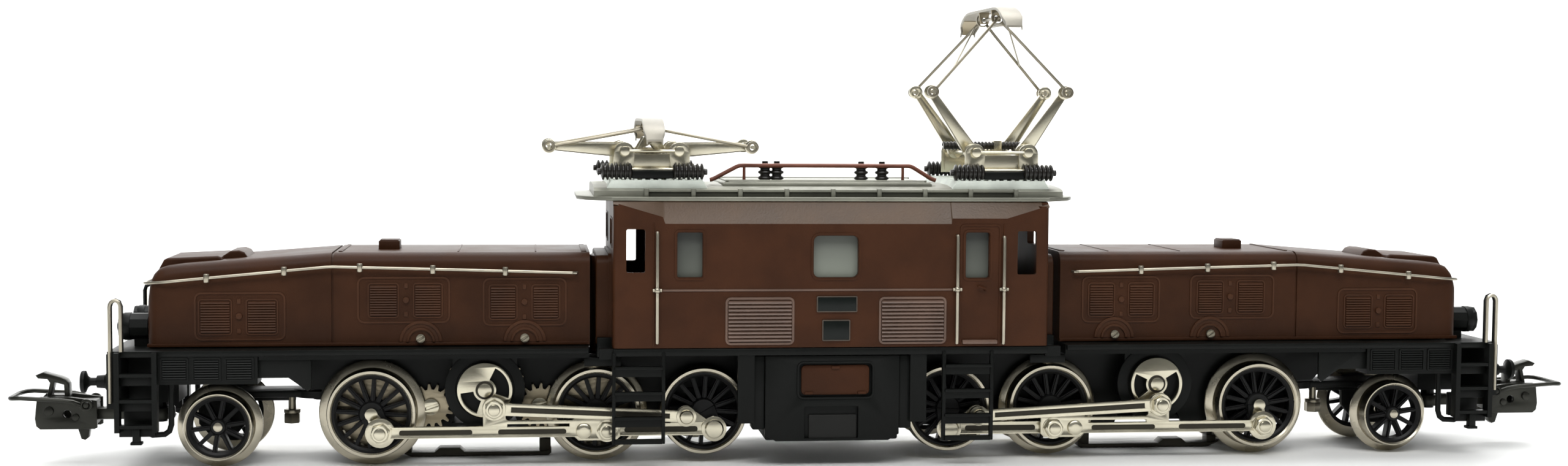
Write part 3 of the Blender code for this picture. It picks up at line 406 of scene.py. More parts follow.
def piece(name, body, material, shapes, hides=(), angle=35):
    """One visible piece from its shapes, riding on a body, in place of the CAD nodes it hides."""
    bm = bmesh.new()
    for mesh in shapes:
        bm.from_mesh(mesh)
        bpy.data.meshes.remove(mesh)
    bmesh.ops.scale(bm, vec=(MM, MM, MM), verts=bm.verts)
    mesh = bpy.data.meshes.new(name)
    bm.to_mesh(mesh)
    bm.free()
    mesh.shade_smooth()
    mesh.set_sharp_from_angle(angle=math.radians(angle))
    mesh.materials.append(material)
    obj = bpy.data.objects.new(name, mesh)
    bpy.context.scene.collection.objects.link(obj)
    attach(obj, body)
    if hides:
        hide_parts(*hides)
    return obj


# Wheels

def crank(end, side):
    """Vector from an outer driving axle to its crank pin."""
    pin = PIVOT[f"front_rod_{side}_{end}"]
    axle = PIVOT["driver_outer_" + end]
    return pin.x - axle.x, pin.z - axle.z


def tyre(x, z, out, tread, rim, inner):
    """Tyre with its flange towards the middle; out is -1 or 1 for the side."""
    profile = [(inner, 7.0), (rim - 0.15, 7.0), (rim, 7.12), (rim, 7.35), (rim - 0.2, 7.55),
               (tread + 0.12, 7.75), (tread, 8.0), (tread - 0.04, 10.0), (tread - 0.16, 10.2),
               (inner + 0.22, 10.2), (inner, 10.0)]
    return lathe("y", (x, 0, z), [(r, out * h) for r, h in profile], 72, closed=True)


def spoked_centre(x, z, out, ring, spokes, hub, phase):
    """Wheel centre: rim ring, hub and tapered spokes with a raised ridge."""
    shapes = [lathe("y", (x, 0, z), [(r, out * h) for r, h in
                                     ((ring - 0.7, 7.5), (ring + 0.05, 7.3), (ring + 0.05, 9.75),
                                      (ring - 0.35, 9.75), (ring - 0.7, 9.5))], 72, closed=True)]
    shapes.append(lathe("y", (x, 0, z), [(r, out * h) for r, h in
                                         ((0, 7.2), (hub + 0.4, 7.2), (hub, 8.2), (hub, 9.7),
                                          (hub - 0.2, 9.95), (0, 9.95))], 32))
    for i in range(spokes):
        angle = math.radians(phase + 360.0 * i / spokes)
        a = (x + (hub - 0.3) * math.cos(angle), z + (hub - 0.3) * math.sin(angle))
        b = (x + (ring - 0.3) * math.cos(angle), z + (ring - 0.3) * math.sin(angle))
        shapes.append(plate("xz", slanted(a, b, 0.36, 0.3), (out * 7.8, out * 9.2)))
        shapes.append(plate("xz", slanted(a, b, 0.15, 0.12), (out * 9.1, out * 9.5)))
    return shapes


def crank_lug(x, z, out, dx, dz):
    """Boss that carries the crank pin, between the hub and the pin."""
    return [plate("xz", slanted((x, z), (x + dx, z + dz), 1.9, 1.45), (out * 8.4, out * 10.25), bevel=0.2),
            rod("y", (x + dx, out * 8.4, z + dz), out * 1.9, 1.5, bevel=0.2)]


def nut(x, z, out, low, turn=15.0):
    """Hexagon nut with a round washer under it and the domed end of its pin."""
    corners = arc((x, z), 1.55, turn, turn + 300, 6)
    chamfer = [(r, out * h) for r, h in ((0, low + 0.4), (1.34, low + 0.4), (1.34, low + 1.0),
                                         (1.2, low + 1.12), (0, low + 1.12))]
    dome = [(r, out * h) for r, h in ((0.92, low + 0.9), (0.92, low + 1.3), (0.82, low + 1.42),
                                      (0.5, low + 1.5), (0, low + 1.52))]
    return [rod("y", (x, out * low, z), out * 0.15, 1.7),
            plate("xz", corners, (out * (low + 0.12), out * (low + 0.95)), bevel=0.1),
            lathe("y", (x, 0, z), chamfer, 32), lathe("y", (x, 0, z), dome, 32)]


def round_head(x, z, out, low, radius, height):
    profile = [(0, low), (radius, low), (radius, low + height * 0.6), (radius * 0.85, low + height * 0.9),
               (radius * 0.5, low + height), (0, low + height * 1.03)]
    return lathe("y", (x, 0, z), [(r, out * h) for r, h in profile], 32)


def driver(end, name):
    body = f"driver_{name}_{end}"
    x, z = PIVOT[body].x, PIVOT[body].z
    ring = 6.12
    tyres = [rod("y", (x, -8.0, z), 16.0, 1.2)]
    centres = []
    pins = []
    for side, out in SIDES.items():
        dx, dz = crank(end, side)
        phase = math.degrees(math.atan2(dz, dx)) + 11.25
        tyres.append(tyre(x, z, out, TREAD_R, DRIVER_RIM[name], ring))
        centres += spoked_centre(x, z, out, ring, 16, 2.0, phase)
        centres += crank_lug(x, z, out, dx, dz)
        pin = (x + dx, z + dz)
        reach = REAR_ROD_Y[1] if name == "inner" else FRONT_ROD_Y[1]
        pins.append(rod("y", (pin[0], out * 9.5, pin[1]), out * (reach - 9.4), PIN_R))
        if name == "inner":
            pins.append(rod("y", (pin[0], out * (reach + 0.02), pin[1]), out * 0.2, 2.0, bevel=0.05))
            pins.append(round_head(*pin, out, reach + 0.15, 1.5, 0.75))
            tail = (pin[0] - dx * 0.62, pin[1] - dz * 0.62)
            pins.append(plate("xz", slanted(pin, tail, 1.3, 0.9),
                              (out * (reach + 0.02), out * (reach + 0.2))))
        else:
            pins += nut(*pin, out, reach + 0.02, 15 if name == "outer" else 0)
        if name == "outer":
            pins.append(plate("xz", slanted((x, z), pin, 0.85, 1.3), (out * 10.26, out * 10.5), bevel=0.05))
            pins.append(rod("y", (x, out * 10.2, z), out * 0.35, 1.0, bevel=0.08))
    piece(body + "_tyres", body, STEEL, tyres, [body])
    piece(body + "_centres", body, SPOKE_BLACK, centres)
    piece(body + "_pins", body, NICKEL, pins)


def pilot_wheels(end):
    body = "pilot_wheels_" + end
    x, z = PIVOT[body].x, PIVOT[body].z
    ring = 4.75
    tyres = [rod("y", (x, -10.15, z), 20.3, 0.72, bevel=0.12)]
    centres = []
    for out in SIDES.values():
        tyres.append(tyre(x, z, out, 5.3, PILOT_R, ring))
        centres += spoked_centre(x, z, out, ring, 10, 1.25, 8)
    piece(body + "_tyres", body, STEEL, tyres, [body])
    piece(body + "_centres", body, SPOKE_BLACK, centres)


def jack_disc(x, z, out, angle):
    """Silver crank disc with a sector window each side of the crank and a solid counterweight."""
    holes = []
    for start, stop in ((42, 124), (-112, -50)):
        outer = arc((x, z), 3.75, angle + start, angle + stop, 14)
        inner = arc((x, z), 1.8, angle + stop, angle + start, 8)
        holes.append(outer + inner)
    return plate("xz", circle((x, z), 4.3, 64), (out * 9.7, out * 10.7), holes, 0.12)


def jackshaft(end):
    body = "jackshaft_" + end
    x, z = PIVOT[body].x, PIVOT[body].z
    bright = []
    dark = [rod("y", (x, -9.75, z), 19.5, 1.2)]
    for side, out in SIDES.items():
        dx, dz = crank(end, side)
        bright.append(jack_disc(x, z, out, math.degrees(math.atan2(dz, dx))))
        bright.append(rod("y", (x + dx, out * 10.2, z + dz), out * 3.2, PIN_R))
        bright += nut(x + dx, z + dz, out, UPPER_ROD_Y[1] + 0.02, 30)
        dark.append(rod("y", (x, out * 10.6, z), out * 0.2, 1.45, bevel=0.08))
        bright.append(rod("y", (x, out * 10.7, z), out * 0.35, 1.1, bevel=0.1))
    piece(body + "_discs", body, NICKEL, bright, [body])
    piece(body + "_shaft", body, GROOVE, dark)


# Gears of the powered end

def bearing_to(a, b):
    return math.degrees(math.atan2(b[1] - a[1], b[0] - a[0]))


def meshed_phase(centre, teeth, partner, partner_teeth, partner_phase):
    """Phase that puts a tooth gap of this gear on the partner's tooth along the centre line."""
    towards = bearing_to(partner, centre)
    offset = (towards - partner_phase) % (360.0 / partner_teeth)
    offset_turn = offset * partner_teeth / teeth
    return bearing_to(centre, partner) + offset_turn + 180.0 / teeth


def gear_train():
    shaft = (PIVOT["jackshaft_left"].x, PIVOT["jackshaft_left"].z)
    collar = rod("y", (shaft[0], GEAR_Y[0], shaft[1]), -0.6, 2.2, bevel=0.1)
    disc = plate("xz", toothed(shaft, WHEEL_TEETH, SHAFT_PHASE), GEAR_Y, [circle(shaft, 1.2)], 0.05)
    piece("jackshaft_gear", "jackshaft_left", GEAR, [disc, collar])
    for name in ("outer", "middle"):
        idler_body = "idler_gear_" + name
        centre = (PIVOT[idler_body].x, PIVOT[idler_body].z)
        phase = meshed_phase(centre, IDLER_TEETH, shaft, WHEEL_TEETH, SHAFT_PHASE)
        small = plate("xz", toothed(centre, IDLER_TEETH, phase), GEAR_Y, [circle(centre, 0.95)], 0.05)
        piece(idler_body + "_teeth", idler_body, GEAR, [small], [idler_body])
        driver_body = f"driver_{name}_left"
        axle = (PIVOT[driver_body].x, PIVOT[driver_body].z)
        phase = meshed_phase(axle, WHEEL_TEETH, centre, IDLER_TEETH, phase)
        wheel = plate("xz", toothed(axle, WHEEL_TEETH, phase), GEAR_Y, [circle(axle, 1.2)], 0.05)
        piece(driver_body + "_gear", driver_body, GEAR, [wheel])
        screw = slotted_screw(centre, GEAR_Y[0] - 0.2, -1, 1.3, 20)
        piece(idler_body + "_screw", "bogie_left", NICKEL, screw)


def slotted_screw(centre, y, out, radius, turn):
    """Screw head: a base disc under two half discs with the slot between them."""
    x, z = centre
    tilt = math.degrees(math.asin(0.15))
    halves = []
    for start in (turn, turn + 180):
        half = arc((x, z), radius, start + tilt, start + 180 - tilt, 12)
        halves.append(plate("xz", half, (y + out * 0.2, y + out * 0.5), bevel=0.06))
    return [rod("y", (x, y, z), out * 0.3, radius, bevel=0.05), *halves]


# Coupling rods

def rod_placer(end, side):
    """Maps points of the rod drawing, (u, height over the axles), to the rod at rest."""
    sign = ENDS[end]
    dx, dz = crank(end, side)
    return lambda points: [(sign * u + dx, AXLE_Z + w + dz) for u, w in points]


def rim_layer(place, outline, groove, y, out, holes):
    """Two layers of a fluted rod: a full back plate and a front layer with the flute in it."""
    low, high = y
    middle = low + (high - low) * 0.62
    back = plate("xz", place(outline), (out * low, out * middle), holes, 0.05)
    front = plate("xz", place(outline), (out * middle, out * high), [*holes, *map(place, groove)], 0.06)
    return [back, front]


def front_rod(end, side):
    body = f"front_rod_{side}_{end}"
    place = rod_placer(end, side)
    out = SIDES[side]
    outer_u, middle_u = DRIVER_U["outer"], DRIVER_U["middle"]
    jack = (JACK_U, JACK_Z - AXLE_Z)
    bar, eye = 0.9, 2.3
    spread = 180 - math.degrees(math.asin(bar / eye))
    outline = arc((outer_u, 0), eye, -spread, spread, 24)
    outline += [(jack[0] + 1.75, bar)] + arc(jack, 1.75, 0, 180, 14)
    outline += [(jack[0] - 1.75, 2.1), (jack[0] - 2.1, 1.75), (41.9, 1.75), (41.4, 2.3), (40.8, 2.4),
                (35.0, 2.4), (34.5, 1.6), (34.5, -0.9), (35.1, -1.5), (41.0, -1.5), (41.6, -bar)]
    groove = [rounded((jack[0] + 3.4, outer_u - 2.9), (-0.38, 0.38), 0.36),
              rounded((42.9, jack[0] - 0.6), (-0.38, 0.38), 0.36)]
    window = [(jack[0] - 2.0, bar - 0.12), (jack[0] - 2.0, 1.2), (42.4, 1.2), (42.4, bar - 0.12)]
    pins = ((outer_u, 0), jack, (JOINT_PIN_U, 0), (middle_u, 0))
    holes = [circle(place([point])[0], PIN_HOLE_R) for point in pins] + [place(window)]
    shapes = rim_layer(place, outline, groove, FRONT_ROD_Y, out, holes)
    for point in pins[:1] + pins[3:]:
        centre = place([point])[0]
        collar = [(1.05, 12.3), (1.75, 12.3), (1.75, 12.52), (1.05, 12.52)]
        shapes.append(lathe("y", (centre[0], 0, centre[1]), [(r, out * h) for r, h in collar], 32, True))
    piece(body + "_plate", body, NICKEL, shapes, [body])
    inlay = [plate("xz", place(rounded((jack[0] + 3.4, outer_u - 2.9), (-0.4, 0.4), 0.36)),
                   (out * 12.2, out * 12.27)),
             plate("xz", place(rounded((42.9, jack[0] - 0.6), (-0.4, 0.4), 0.36)),
                   (out * 12.2, out * 12.27))]
    piece(body + "_flute", body, GROOVE, inlay)


def rear_rod(end, side):
    body = f"rear_rod_{side}_{end}"
    place = rod_placer(end, side)
    out = SIDES[side]
    inner_u = DRIVER_U["inner"]
    jack = (JACK_U, JACK_Z - AXLE_Z)
    bar, eye = 1.0, 1.85
    spread = math.degrees(math.asin(bar / eye))
    outline = [(34.6, -bar), (35.0, -1.4), (41.1, -1.4), (41.1, 2.0), (35.0, 2.0), (34.6, bar),
               (BALL_PIN[0] + 2.4, bar)]
    outline += arc(BALL_PIN, 1.5, 40, 150, 10)
    outline += arc((inner_u, 0), eye, spread + 20, 360 - spread, 20)
    groove = [rounded((inner_u + 2.6, 33.8), (-0.42, 0.42), 0.4)]
    holes = [circle(place([(DRIVER_U[name], 0)])[0], PIN_HOLE_R) for name in ("middle", "inner")]
    shapes = rim_layer(place, outline, groove, REAR_ROD_Y, out, holes)
    low, high = UPPER_ROD_Y
    upper = place(slanted(jack, BALL_PIN, 0.98, 0.9))
    a, b = place([(jack[0] - 2.6, jack[1] - 0.13)])[0], place([(BALL_PIN[0] + 2.6, BALL_PIN[1] + 0.13)])[0]
    slot = slanted(a, b, 0.4, 0.36)
    shapes.append(plate("xz", upper, (out * (low + 0.05), out * (low + 0.42)), bevel=0.05))
    shapes.append(plate("xz", upper, (out * (low + 0.42), out * (high - 0.05)), [slot], 0.05))
    jack_at, ball_at = place([jack])[0], place([BALL_PIN])[0]
    ring = [(1.05, low), (1.85, low), (1.85, high - 0.08), (1.77, high), (1.05, high)]
    shapes.append(lathe("y", (jack_at[0], 0, jack_at[1]), [(r, out * h) for r, h in ring], 32, True))
    shapes.append(rod("y", (ball_at[0], out * low, ball_at[1]), out * (high - low), 1.6, bevel=0.1))
    shapes.append(rod("y", (ball_at[0], out * 11.2, ball_at[1]), out * 1.8, 1.1))
    shapes.append(round_head(*ball_at, out, high - 0.02, 1.1, 0.95))
    joint = place([(JOINT_PIN_U, 0)])[0]
    shapes.append(rod("y", (joint[0], out * 11.2, joint[1]), out * 1.4, 0.75))
    shapes.append(round_head(*joint, out, FRONT_ROD_Y[1] + 0.05, 1.15, 0.4))
    piece(body + "_plates", body, NICKEL, shapes, [body])
    inlay = [plate("xz", slot, (out * (low + 0.42), out * (low + 0.47))),
             plate("xz", place(rounded((inner_u + 2.6, 33.8), (-0.44, 0.44), 0.4)),
                   (out * 11.33, out * 11.38))]
    piece(body + "_flute", body, GROOVE, inlay)


# Cab

# Windows of the near side: both edges along X, sill and top height, corner radius
CAB_WINDOWS = {
    "end_left": ((-32.3, -29.4), (30.7, 37.4), 0.3),
    "second": ((-24.45, -20.5), (29.95, 36.9), 0.3),
    "centre": ((-3.2, 3.85), (29.9, 36.4), 0.9),
    "door": ((20.9, 24.7), (29.75, 36.9), 0.4),
    "end_right": ((29.2, 32.25), (30.25, 37.1), 0.3),
}
WALL_TOP = [(-34.3, 41.3), (-26.7, 39.3), (-26.3, 38.25), (18.6, 38.25), (18.7, 39.1), (27.5, 39.1),
            (34.3, 40.9)]
ROOF_LINE = (15.1, 41.65)


def cab_side(side):
    out = SIDES[side]
    y = CAB_HALF_WIDTH

    def place(x):
        return -out * x

    def span(pair):
        return tuple(sorted(place(x) for x in pair))

    wall = [(-33.5, 19.0)] + [(max(-33.5, min(33.5, x)), z) for x, z in WALL_TOP] + [(33.5, 19.0)]
    wall = [(place(x), z) for x, z in wall]
    holes = [rounded(span(x), z, r) for x, z, r in CAB_WINDOWS.values()]
    shapes = [plate("xz", wall, (out * (y - 1.0), out * y), holes)]
    eave = []
    for x, z in WALL_TOP:
        roof_y, roof_z = ROOF_LINE
        eave.append([(place(x), out * y, z), (place(x), out * roof_y, roof_z),
                     (place(x), out * (roof_y - 1.0), roof_z), (place(x), out * (y - 1.0), z - 0.3)])
    # The eave band takes the brown lightened with painted sheen.
    piece("cab_eave_" + side, "body", EAVE_SHEEN_BROWN, [loft(eave)])
    for name in ("second", "centre", "door"):
        x, z, r = CAB_WINDOWS[name]
        a, b = span(x)
        shapes.append(outline_bead("xz", (a - 0.42, b + 0.42), (z[0] - 0.42, z[1] + 0.42), r + 0.42, 0.3,
                                   (out * (y - 0.05), out * (y + 0.14))))
    door = (19.95, 26.5)
    shapes.append(outline_bead("xz", span(door), (19.2, 38.2), 0.7, 0.3, (out * (y - 0.05), out * (y + 0.13))))
    belt_y = (out * (y - 0.05), out * (y + 0.16))
    # Belt line, step and louvre patches take the worn brown, which also carries painted highlight on the slats.
    worn = [block(span((-26.7, 18.8)), belt_y, (27.8, 28.12), 0.07)]
    step = block(span((20.4, 26.0)), (out * (y - 0.1), out * (y + 0.7)), (19.4, 20.05), 0.15)
    worn.append(step)
    for pair in ((-16.5, -6.65), (7.6, 17.4)):
        a, b = span(pair)
        worn.append(outline_bead("xz", (a - 0.45, b + 0.45), (19.45, 26.85), 0.8, 0.35,
                                 (out * (y - 0.05), out * (y + 0.2))))
        worn.append(louvres((a, b), (19.95, 26.4), 11, y, 0.45, out))
    for x in (-28.1, 27.0):
        shapes.append(block(span((x - 0.1, x + 0.1)), belt_y, (19.2, 38.4 if x < 0 else 38.2), 0.05))
    handle = [(place(24.0), out * (y + 0.05), 27.9), (place(24.0), out * (y + 0.55), 28.1),
              (place(22.8), out * (y + 0.55), 28.5)]
    shapes.append(tube(handle, 0.2))
    piece("cab_side_" + side, "body", BROWN, shapes)
    piece("cab_louvres_" + side, "body", WORN_AND_HIGHLIT, worn)

    rails = []
    for x, low, high in ((-27.54, 19.9, 36.9), (19.5, 19.6, 36.4), (26.95, 19.5, 36.2)):
        at = place(x)
        rails.append(tube([(at, out * (y - 0.3), low), (at, out * (y + 0.5), low), (at, out * (y + 0.62), low + 0.4),
                           (at, out * (y + 0.62), high - 0.4), (at, out * (y + 0.5), high),
                           (at, out * (y - 0.3), high)], 0.25, resolution=3))
        rails.append(ball((at, out * (y + 0.6), 28.0), 0.5))
        rails.append(rod("x", (at - 0.7, out * (y + 0.55), 28.0), 1.4, 0.28))
    piece("cab_handrails_" + side, "body", RAIL, rails)

    rims = []
    fields = []
    for x, z in (((-2.7, 3.7), (24.5, 27.0)), ((-1.8, 2.6), (20.0, 23.3))):
        a, b = span(x)
        fields.append(block((a + 0.12, b - 0.12), (out * (y - 0.05), out * (y + 0.22)), (z[0] + 0.12, z[1] - 0.12), 0.05))
        rims.append(outline_bead("xz", (a, b), z, 0.2, 0.16, (out * (y - 0.05), out * (y + 0.28))))
    piece("cab_plates_" + side, "body", BLACK_PLATE, fields)
    piece("cab_plate_rims_" + side, "body", PLATE_RIM, rims)


def cab_ends():
    shapes = []
    x, y = CAB_HALF_LENGTH, CAB_HALF_WIDTH
    roof_y, roof_z = ROOF_LINE
    outline = [(-y + 0.8, 19.0), (y - 0.8, 19.0), (y - 0.8, 41.3), (roof_y, roof_z), (-roof_y, roof_z), (-y + 0.8, 41.3)]
    windows = [rounded((side * 6.0, side * 12.5), (34.6, 38.6), 0.5) for side in SIDES.values()]
    for sign in ENDS.values():
        shapes.append(plate("yz", outline, (sign * (x - 1.0), sign * x), windows))
        for side in SIDES.values():
            shapes.append(rod("z", (sign * (x - 0.8), side * (y - 0.8), 19.0), 22.0, 0.8))
            shapes.append(outline_bead("yz", (side * 5.6, side * 12.9), (34.2, 39.0), 0.8, 0.3,
                                       (sign * (x - 0.05), sign * (x + 0.12))))
    piece("cab_ends", "body", BROWN, shapes, ["cab_body"])


def hood_joints():
    """Shoulders on the cab ends, with a core curved round each bogie pivot to fill the gap."""
    shoulders = []
    cores = []
    reach = 9.45
    for sign in ENDS.values():
        sections = [(34.2, 10.0, 32.9, 1.6), (36.6, 10.0, 32.9, 1.6), (36.75, 9.8, 32.7, 1.5)]
        shoulders.append(loft([arch_section(sign * u, w, 19.05, top, r) for u, w, top, r in sections]))
        shoulders.append(loft([arch_section(sign * u, w, 19.05, top, r) for u, w, top, r in
                               ((34.3, 10.3, 33.2, 1.8), (34.8, 10.3, 33.2, 1.8))]))
        spread = math.degrees(math.acos((34.4 - 28.0) / reach))
        front = arc((sign * 28.0, 0), reach, (0 if sign > 0 else 180) - spread,
                    (0 if sign > 0 else 180) + spread, 16)
        cores.append(plate("xy", front, (17.1, 32.4), bevel=0.1))
    piece("cab_shoulders", "body", HOOD_BROWN, shoulders)
    piece("cab_end_cores", "body", HOOD_BROWN, cores)
    blocks = [block((sign * 34.2, sign * 36.6), (-11.3, 11.3), (17.05, 20.1), 0.12) for sign in ENDS.values()]
    piece("cab_end_blocks", "body", BLACK, blocks)


def cab_interior():
    """Dark partitions that close off the driver's corners, and the frosted sheet stays in front."""
    shapes = []
    for sign in ENDS.values():
        shapes.append(block((sign * 26.9, sign * 27.3), (-15.3, 15.3), (19.2, 41.2), 0.1))
        shapes.append(block((sign * 27.4, sign * 33.2), (-15.3, 15.3), (18.9, 19.4), 0.1))
        shapes.append(block((sign * 29.0, sign * 33.0), (-6.0, 4.0), (19.4, 27.0), 0.4))
    piece("cab_partitions", "body", BLACK, shapes)
    glazing = frame["nodes"]["cab_glazing"]
    for place in glazing.material_slots:
        place.material = GLASS


def roof():
    wide, tip, tip_half = 15.4, 39.8, 8.5
    quarter = [(34.5, wide), (38.4, 12.0), (tip, tip_half)]
    right = quarter + [(x, -y) for x, y in reversed(quarter)]
    outline = right + [(-x, -y) for x, y in right]
    sheet = plate("xy", outline, (41.7, 42.3), bevel=0.12)
    rise = [(13.3, 42.2), (13.3, 43.2), (12.8, 43.5), (11.0, 43.75), (7.0, 44.0), (0.0, 44.1)]
    arch = rise + [(-y, z) for y, z in reversed(rise[:-1])]
    crown = plate("yz", arch, (-37.2, 37.2))
    shapes = [sheet, crown]
    for side in SIDES.values():
        shapes.append(block((-29.4, 29.6), (side * 13.0, side * 13.75), (43.05, 43.45), 0.1))
        shapes.append(block((-29.4, 29.6), (side * 13.0, side * 13.95), (42.1, 42.3), 0.08))
        for i in range(9):
            x = -29.1 + i * 7.32
            shapes.append(block((x - 0.35, x + 0.35), (side * 12.9, side * 14.05), (42.1, 43.6), 0.12))
    shapes.append(block((-16.8, 16.8), (-9.4, 9.4), (43.6, 44.35), 0.25))
    shapes.append(block((-15.8, 15.8), (-8.6, 8.6), (44.2, 44.6), 0.15))
    for side in SIDES.values():
        shapes.append(rod("x", (-16.5, side * 9.1, 44.25), 33.0, 0.22))
        shapes.append(rod("x", (-16.2, side * 7.6, 44.6), 32.4, 0.18))
    piece("cab_roof_sheet", "body", SILVER, shapes, ["cab_roof"])
    strips = [block((-29.2, 29.4), (side * 12.6, side * 13.4), (42.25, 43.1), 0.05)
              for side in SIDES.values()]
    piece("cab_roof_slots", "body", SLOT, strips)
    pads = []
    for sign in ENDS.values():
        pad = [(sign * 19.1, 43.0), (sign * 35.5, 43.0), (sign * 34.5, 44.85), (sign * 20.2, 44.85)]
        pads.append(plate("xz", pad, (-12.4, 12.4), bevel=0.12))
        for i in range(12):
            u = 20.4 + i * 1.25
            pads.append(block((sign * u, sign * (u + 0.5)), (-12.0, 12.0), (44.7, 45.0), 0.05))
    piece("cab_roof_walkways", "body", PALE, pads)


def ribbed_insulator(axis, centre, length, radius, ribs, direction=1):
    """Insulator with round sheds along its axis, starting at centre."""
    profile = [(0, 0), (radius * 0.75, 0)]
    pitch = length / ribs
    for i in range(ribs):
        foot = i * pitch
        profile += [(radius * 0.68, foot + pitch * 0.08), (radius * 0.94, foot + pitch * 0.25),
                    (radius, foot + pitch * 0.45), (radius * 0.94, foot + pitch * 0.65),
                    (radius * 0.68, foot + pitch * 0.85)]
    profile += [(radius * 0.5, length), (0, length)]
    return lathe(axis, centre, [(r, direction * h) for r, h in profile], 28)


def busbar():
    y, top = -6.0, 47.0
    route = [(-18.6, y, 44.7), (-18.3, y, 44.75), (-17.8, y, 44.95), (-14.4, y, 46.75), (-13.9, y, 46.93),
             (-13.4, y, top), (13.4, y, top), (13.9, y, 46.93), (14.4, y, 46.7), (17.2, y, 45.0),
             (17.7, y, 44.8), (18.0, y, 44.7)]
    shapes = [tube(route, 0.36, resolution=3)]
    shapes += [rod("z", (x, y, 44.5), 2.5, 0.25) for x in (-13.1, 12.6)]
    for x in (-9.6, -7.7, 6.0, 9.4):
        shapes.append(block((x - 0.18, x + 0.18), (y - 0.2, y + 1.3), (46.85, 47.15), 0.05))
    piece("busbar_line", "body", COPPER, shapes, ["roof_busbar"])
    dark = []
    for x in (-9.6, -7.7, 6.0, 9.4):
        dark.append(ribbed_insulator("z", (x, y + 1.2, 44.6), 2.7, 1.15, 3))
        dark.append(rod("z", (x, y + 1.2, 47.2), 0.5, 0.5, bevel=0.1))
    piece("busbar_insulators", "body", CERAMIC, dark)


# Pantographs

def arm_points(end, hand):
    """Pivot, elbow and apex (x, z) of the arms on one hand of one pantograph at rest."""
    word = "a" if hand < 0 else "b"
    pivot = PIVOT[f"panto_lower_{word}_{end}"]
    elbow = PIVOT[f"panto_upper_{word}_{end}"]
    apex = PIVOT["panto_head_" + end]
    return (pivot.x, pivot.z), (elbow.x, elbow.z), (apex.x, apex.z)


def panto_base(end):
    x = ENDS[end] * PANTO_X
    metal = [block((x - 2.6, x + 2.6), (-11.2, 11.2), (45.3, 46.2), 0.1)]
    black = []
    insulators = []
    for out in SIDES.values():
        y = out * 11.0
        black.append(block((x - 3.3, x + 3.3), (y - 0.7, y + 0.7), (45.05, 46.3), 0.15))
        metal.append(rod("x", (x - 3.4, y - out * 0.1, 46.45), 6.8, 0.28))
        side_plate = [(x - 5.4, 46.0), (x + 5.4, 46.0), (x + 5.4, 48.9), (x - 5.4, 48.9)]
        metal.append(plate("xz", side_plate, (out * 9.25, out * 9.5), bevel=0.05))
        metal.append(rod("y", (x - 4.25, out * 8.8, 49.3), out * 1.7, 0.75, bevel=0.1))
        metal.append(rod("y", (x + 4.25, out * 8.8, 49.3), out * 1.7, 0.75, bevel=0.1))
        metal.append(rod("x", (x - 4.25, out * 10.25, 49.3), 8.5, 0.24))
        for hand in (-1, 1):
            leg = [(x + hand * 2.9, 45.6)] + [(x + hand * 6.0, 45.6), (x + hand * 5.95, 49.0)]
            leg += arc((x + hand * 4.35, 49.1), 1.6, 0 if hand > 0 else 180, 180 if hand > 0 else 0, 9)
            leg += [(x + hand * 2.75, 48.4), (x + hand * 2.9, 47.0)]
            hole = circle((x + hand * 4.25, 49.3), 0.62)
            metal.append(plate("xz", leg, (out * 9.5, out * 9.85), [hole], 0.06))
            insulators.append(ribbed_insulator("x", (x + hand * 3.2, y, 46.1), 4.9, 1.35, 7, hand))
            insulators.append(rod("x", (x + hand * 8.0, y, 46.1), hand * 0.6, 0.5, bevel=0.1))
    piece(f"panto_base_{end}_plates", "body", NICKEL, metal, ["panto_base_" + end])
    piece(f"panto_base_{end}_bars", "body", BLACK, black)
    piece(f"panto_base_{end}_insulators", "body", CERAMIC, insulators)


def panto_spring(end):
    """Tension spring across the base with its clip; on the lowered one it hangs on a copper screw."""
    x = ENDS[end] * PANTO_X
    half, radius, z = (7.6, 0.75, 50.2) if end == "right" else (3.0, 0.6, 48.7)
    turns = 26 if end == "right" else 10
    steps = turns * 10
    coil = []
    for i in range(steps + 1):
        angle = 2 * math.pi * turns * i / steps
        coil.append((x - half + 2 * half * i / steps, (radius - 0.13) * math.cos(angle),
                     z + (radius - 0.13) * math.sin(angle)))
    core = rod("x", (x - half, 0, z), 2 * half, radius - 0.2)
    piece(f"panto_spring_{end}", "body", COIL, [tube(coil, 0.15, resolution=1), core])
    if end == "right":
        clip = [block((x + 0.7, x + 2.0), (-1.0, 1.0), (50.75, 51.1), 0.08),
                block((x + 0.7, x + 2.0), (-1.05, -0.85), (48.4, 51.1), 0.05),
                block((x + 0.7, x + 2.0), (-1.1, 1.0), (46.2, 48.5), 0.1)]
        piece("panto_clip_right", "body", NICKEL, clip)
    else:
        screw = [rod("z", (x, 0, 45.5), 2.6, 0.55, segments=16)]
        screw += [lathe("z", (x, 0, 45.6 + i * 0.45), [(0.5, 0), (0.85, 0.15), (0.5, 0.3)], 20, True)
                  for i in range(5)]
        piece("panto_screw_left", "body", COPPER, screw)
        saddle = [(x - 2.5, 48.8), (x - 0.9, 51.5), (x + 1.4, 51.5), (x + 2.8, 49.0), (x + 1.2, 48.9), (x + 0.2, 50.3)]
        shapes = [plate("xz", saddle, (out * 3.3, out * 3.6), bevel=0.05) for out in SIDES.values()]
        shapes.append(block((x - 0.8, x + 1.3), (-3.5, 3.5), (51.2, 51.5), 0.08))
        piece("panto_saddle_left", "body", NICKEL, shapes)


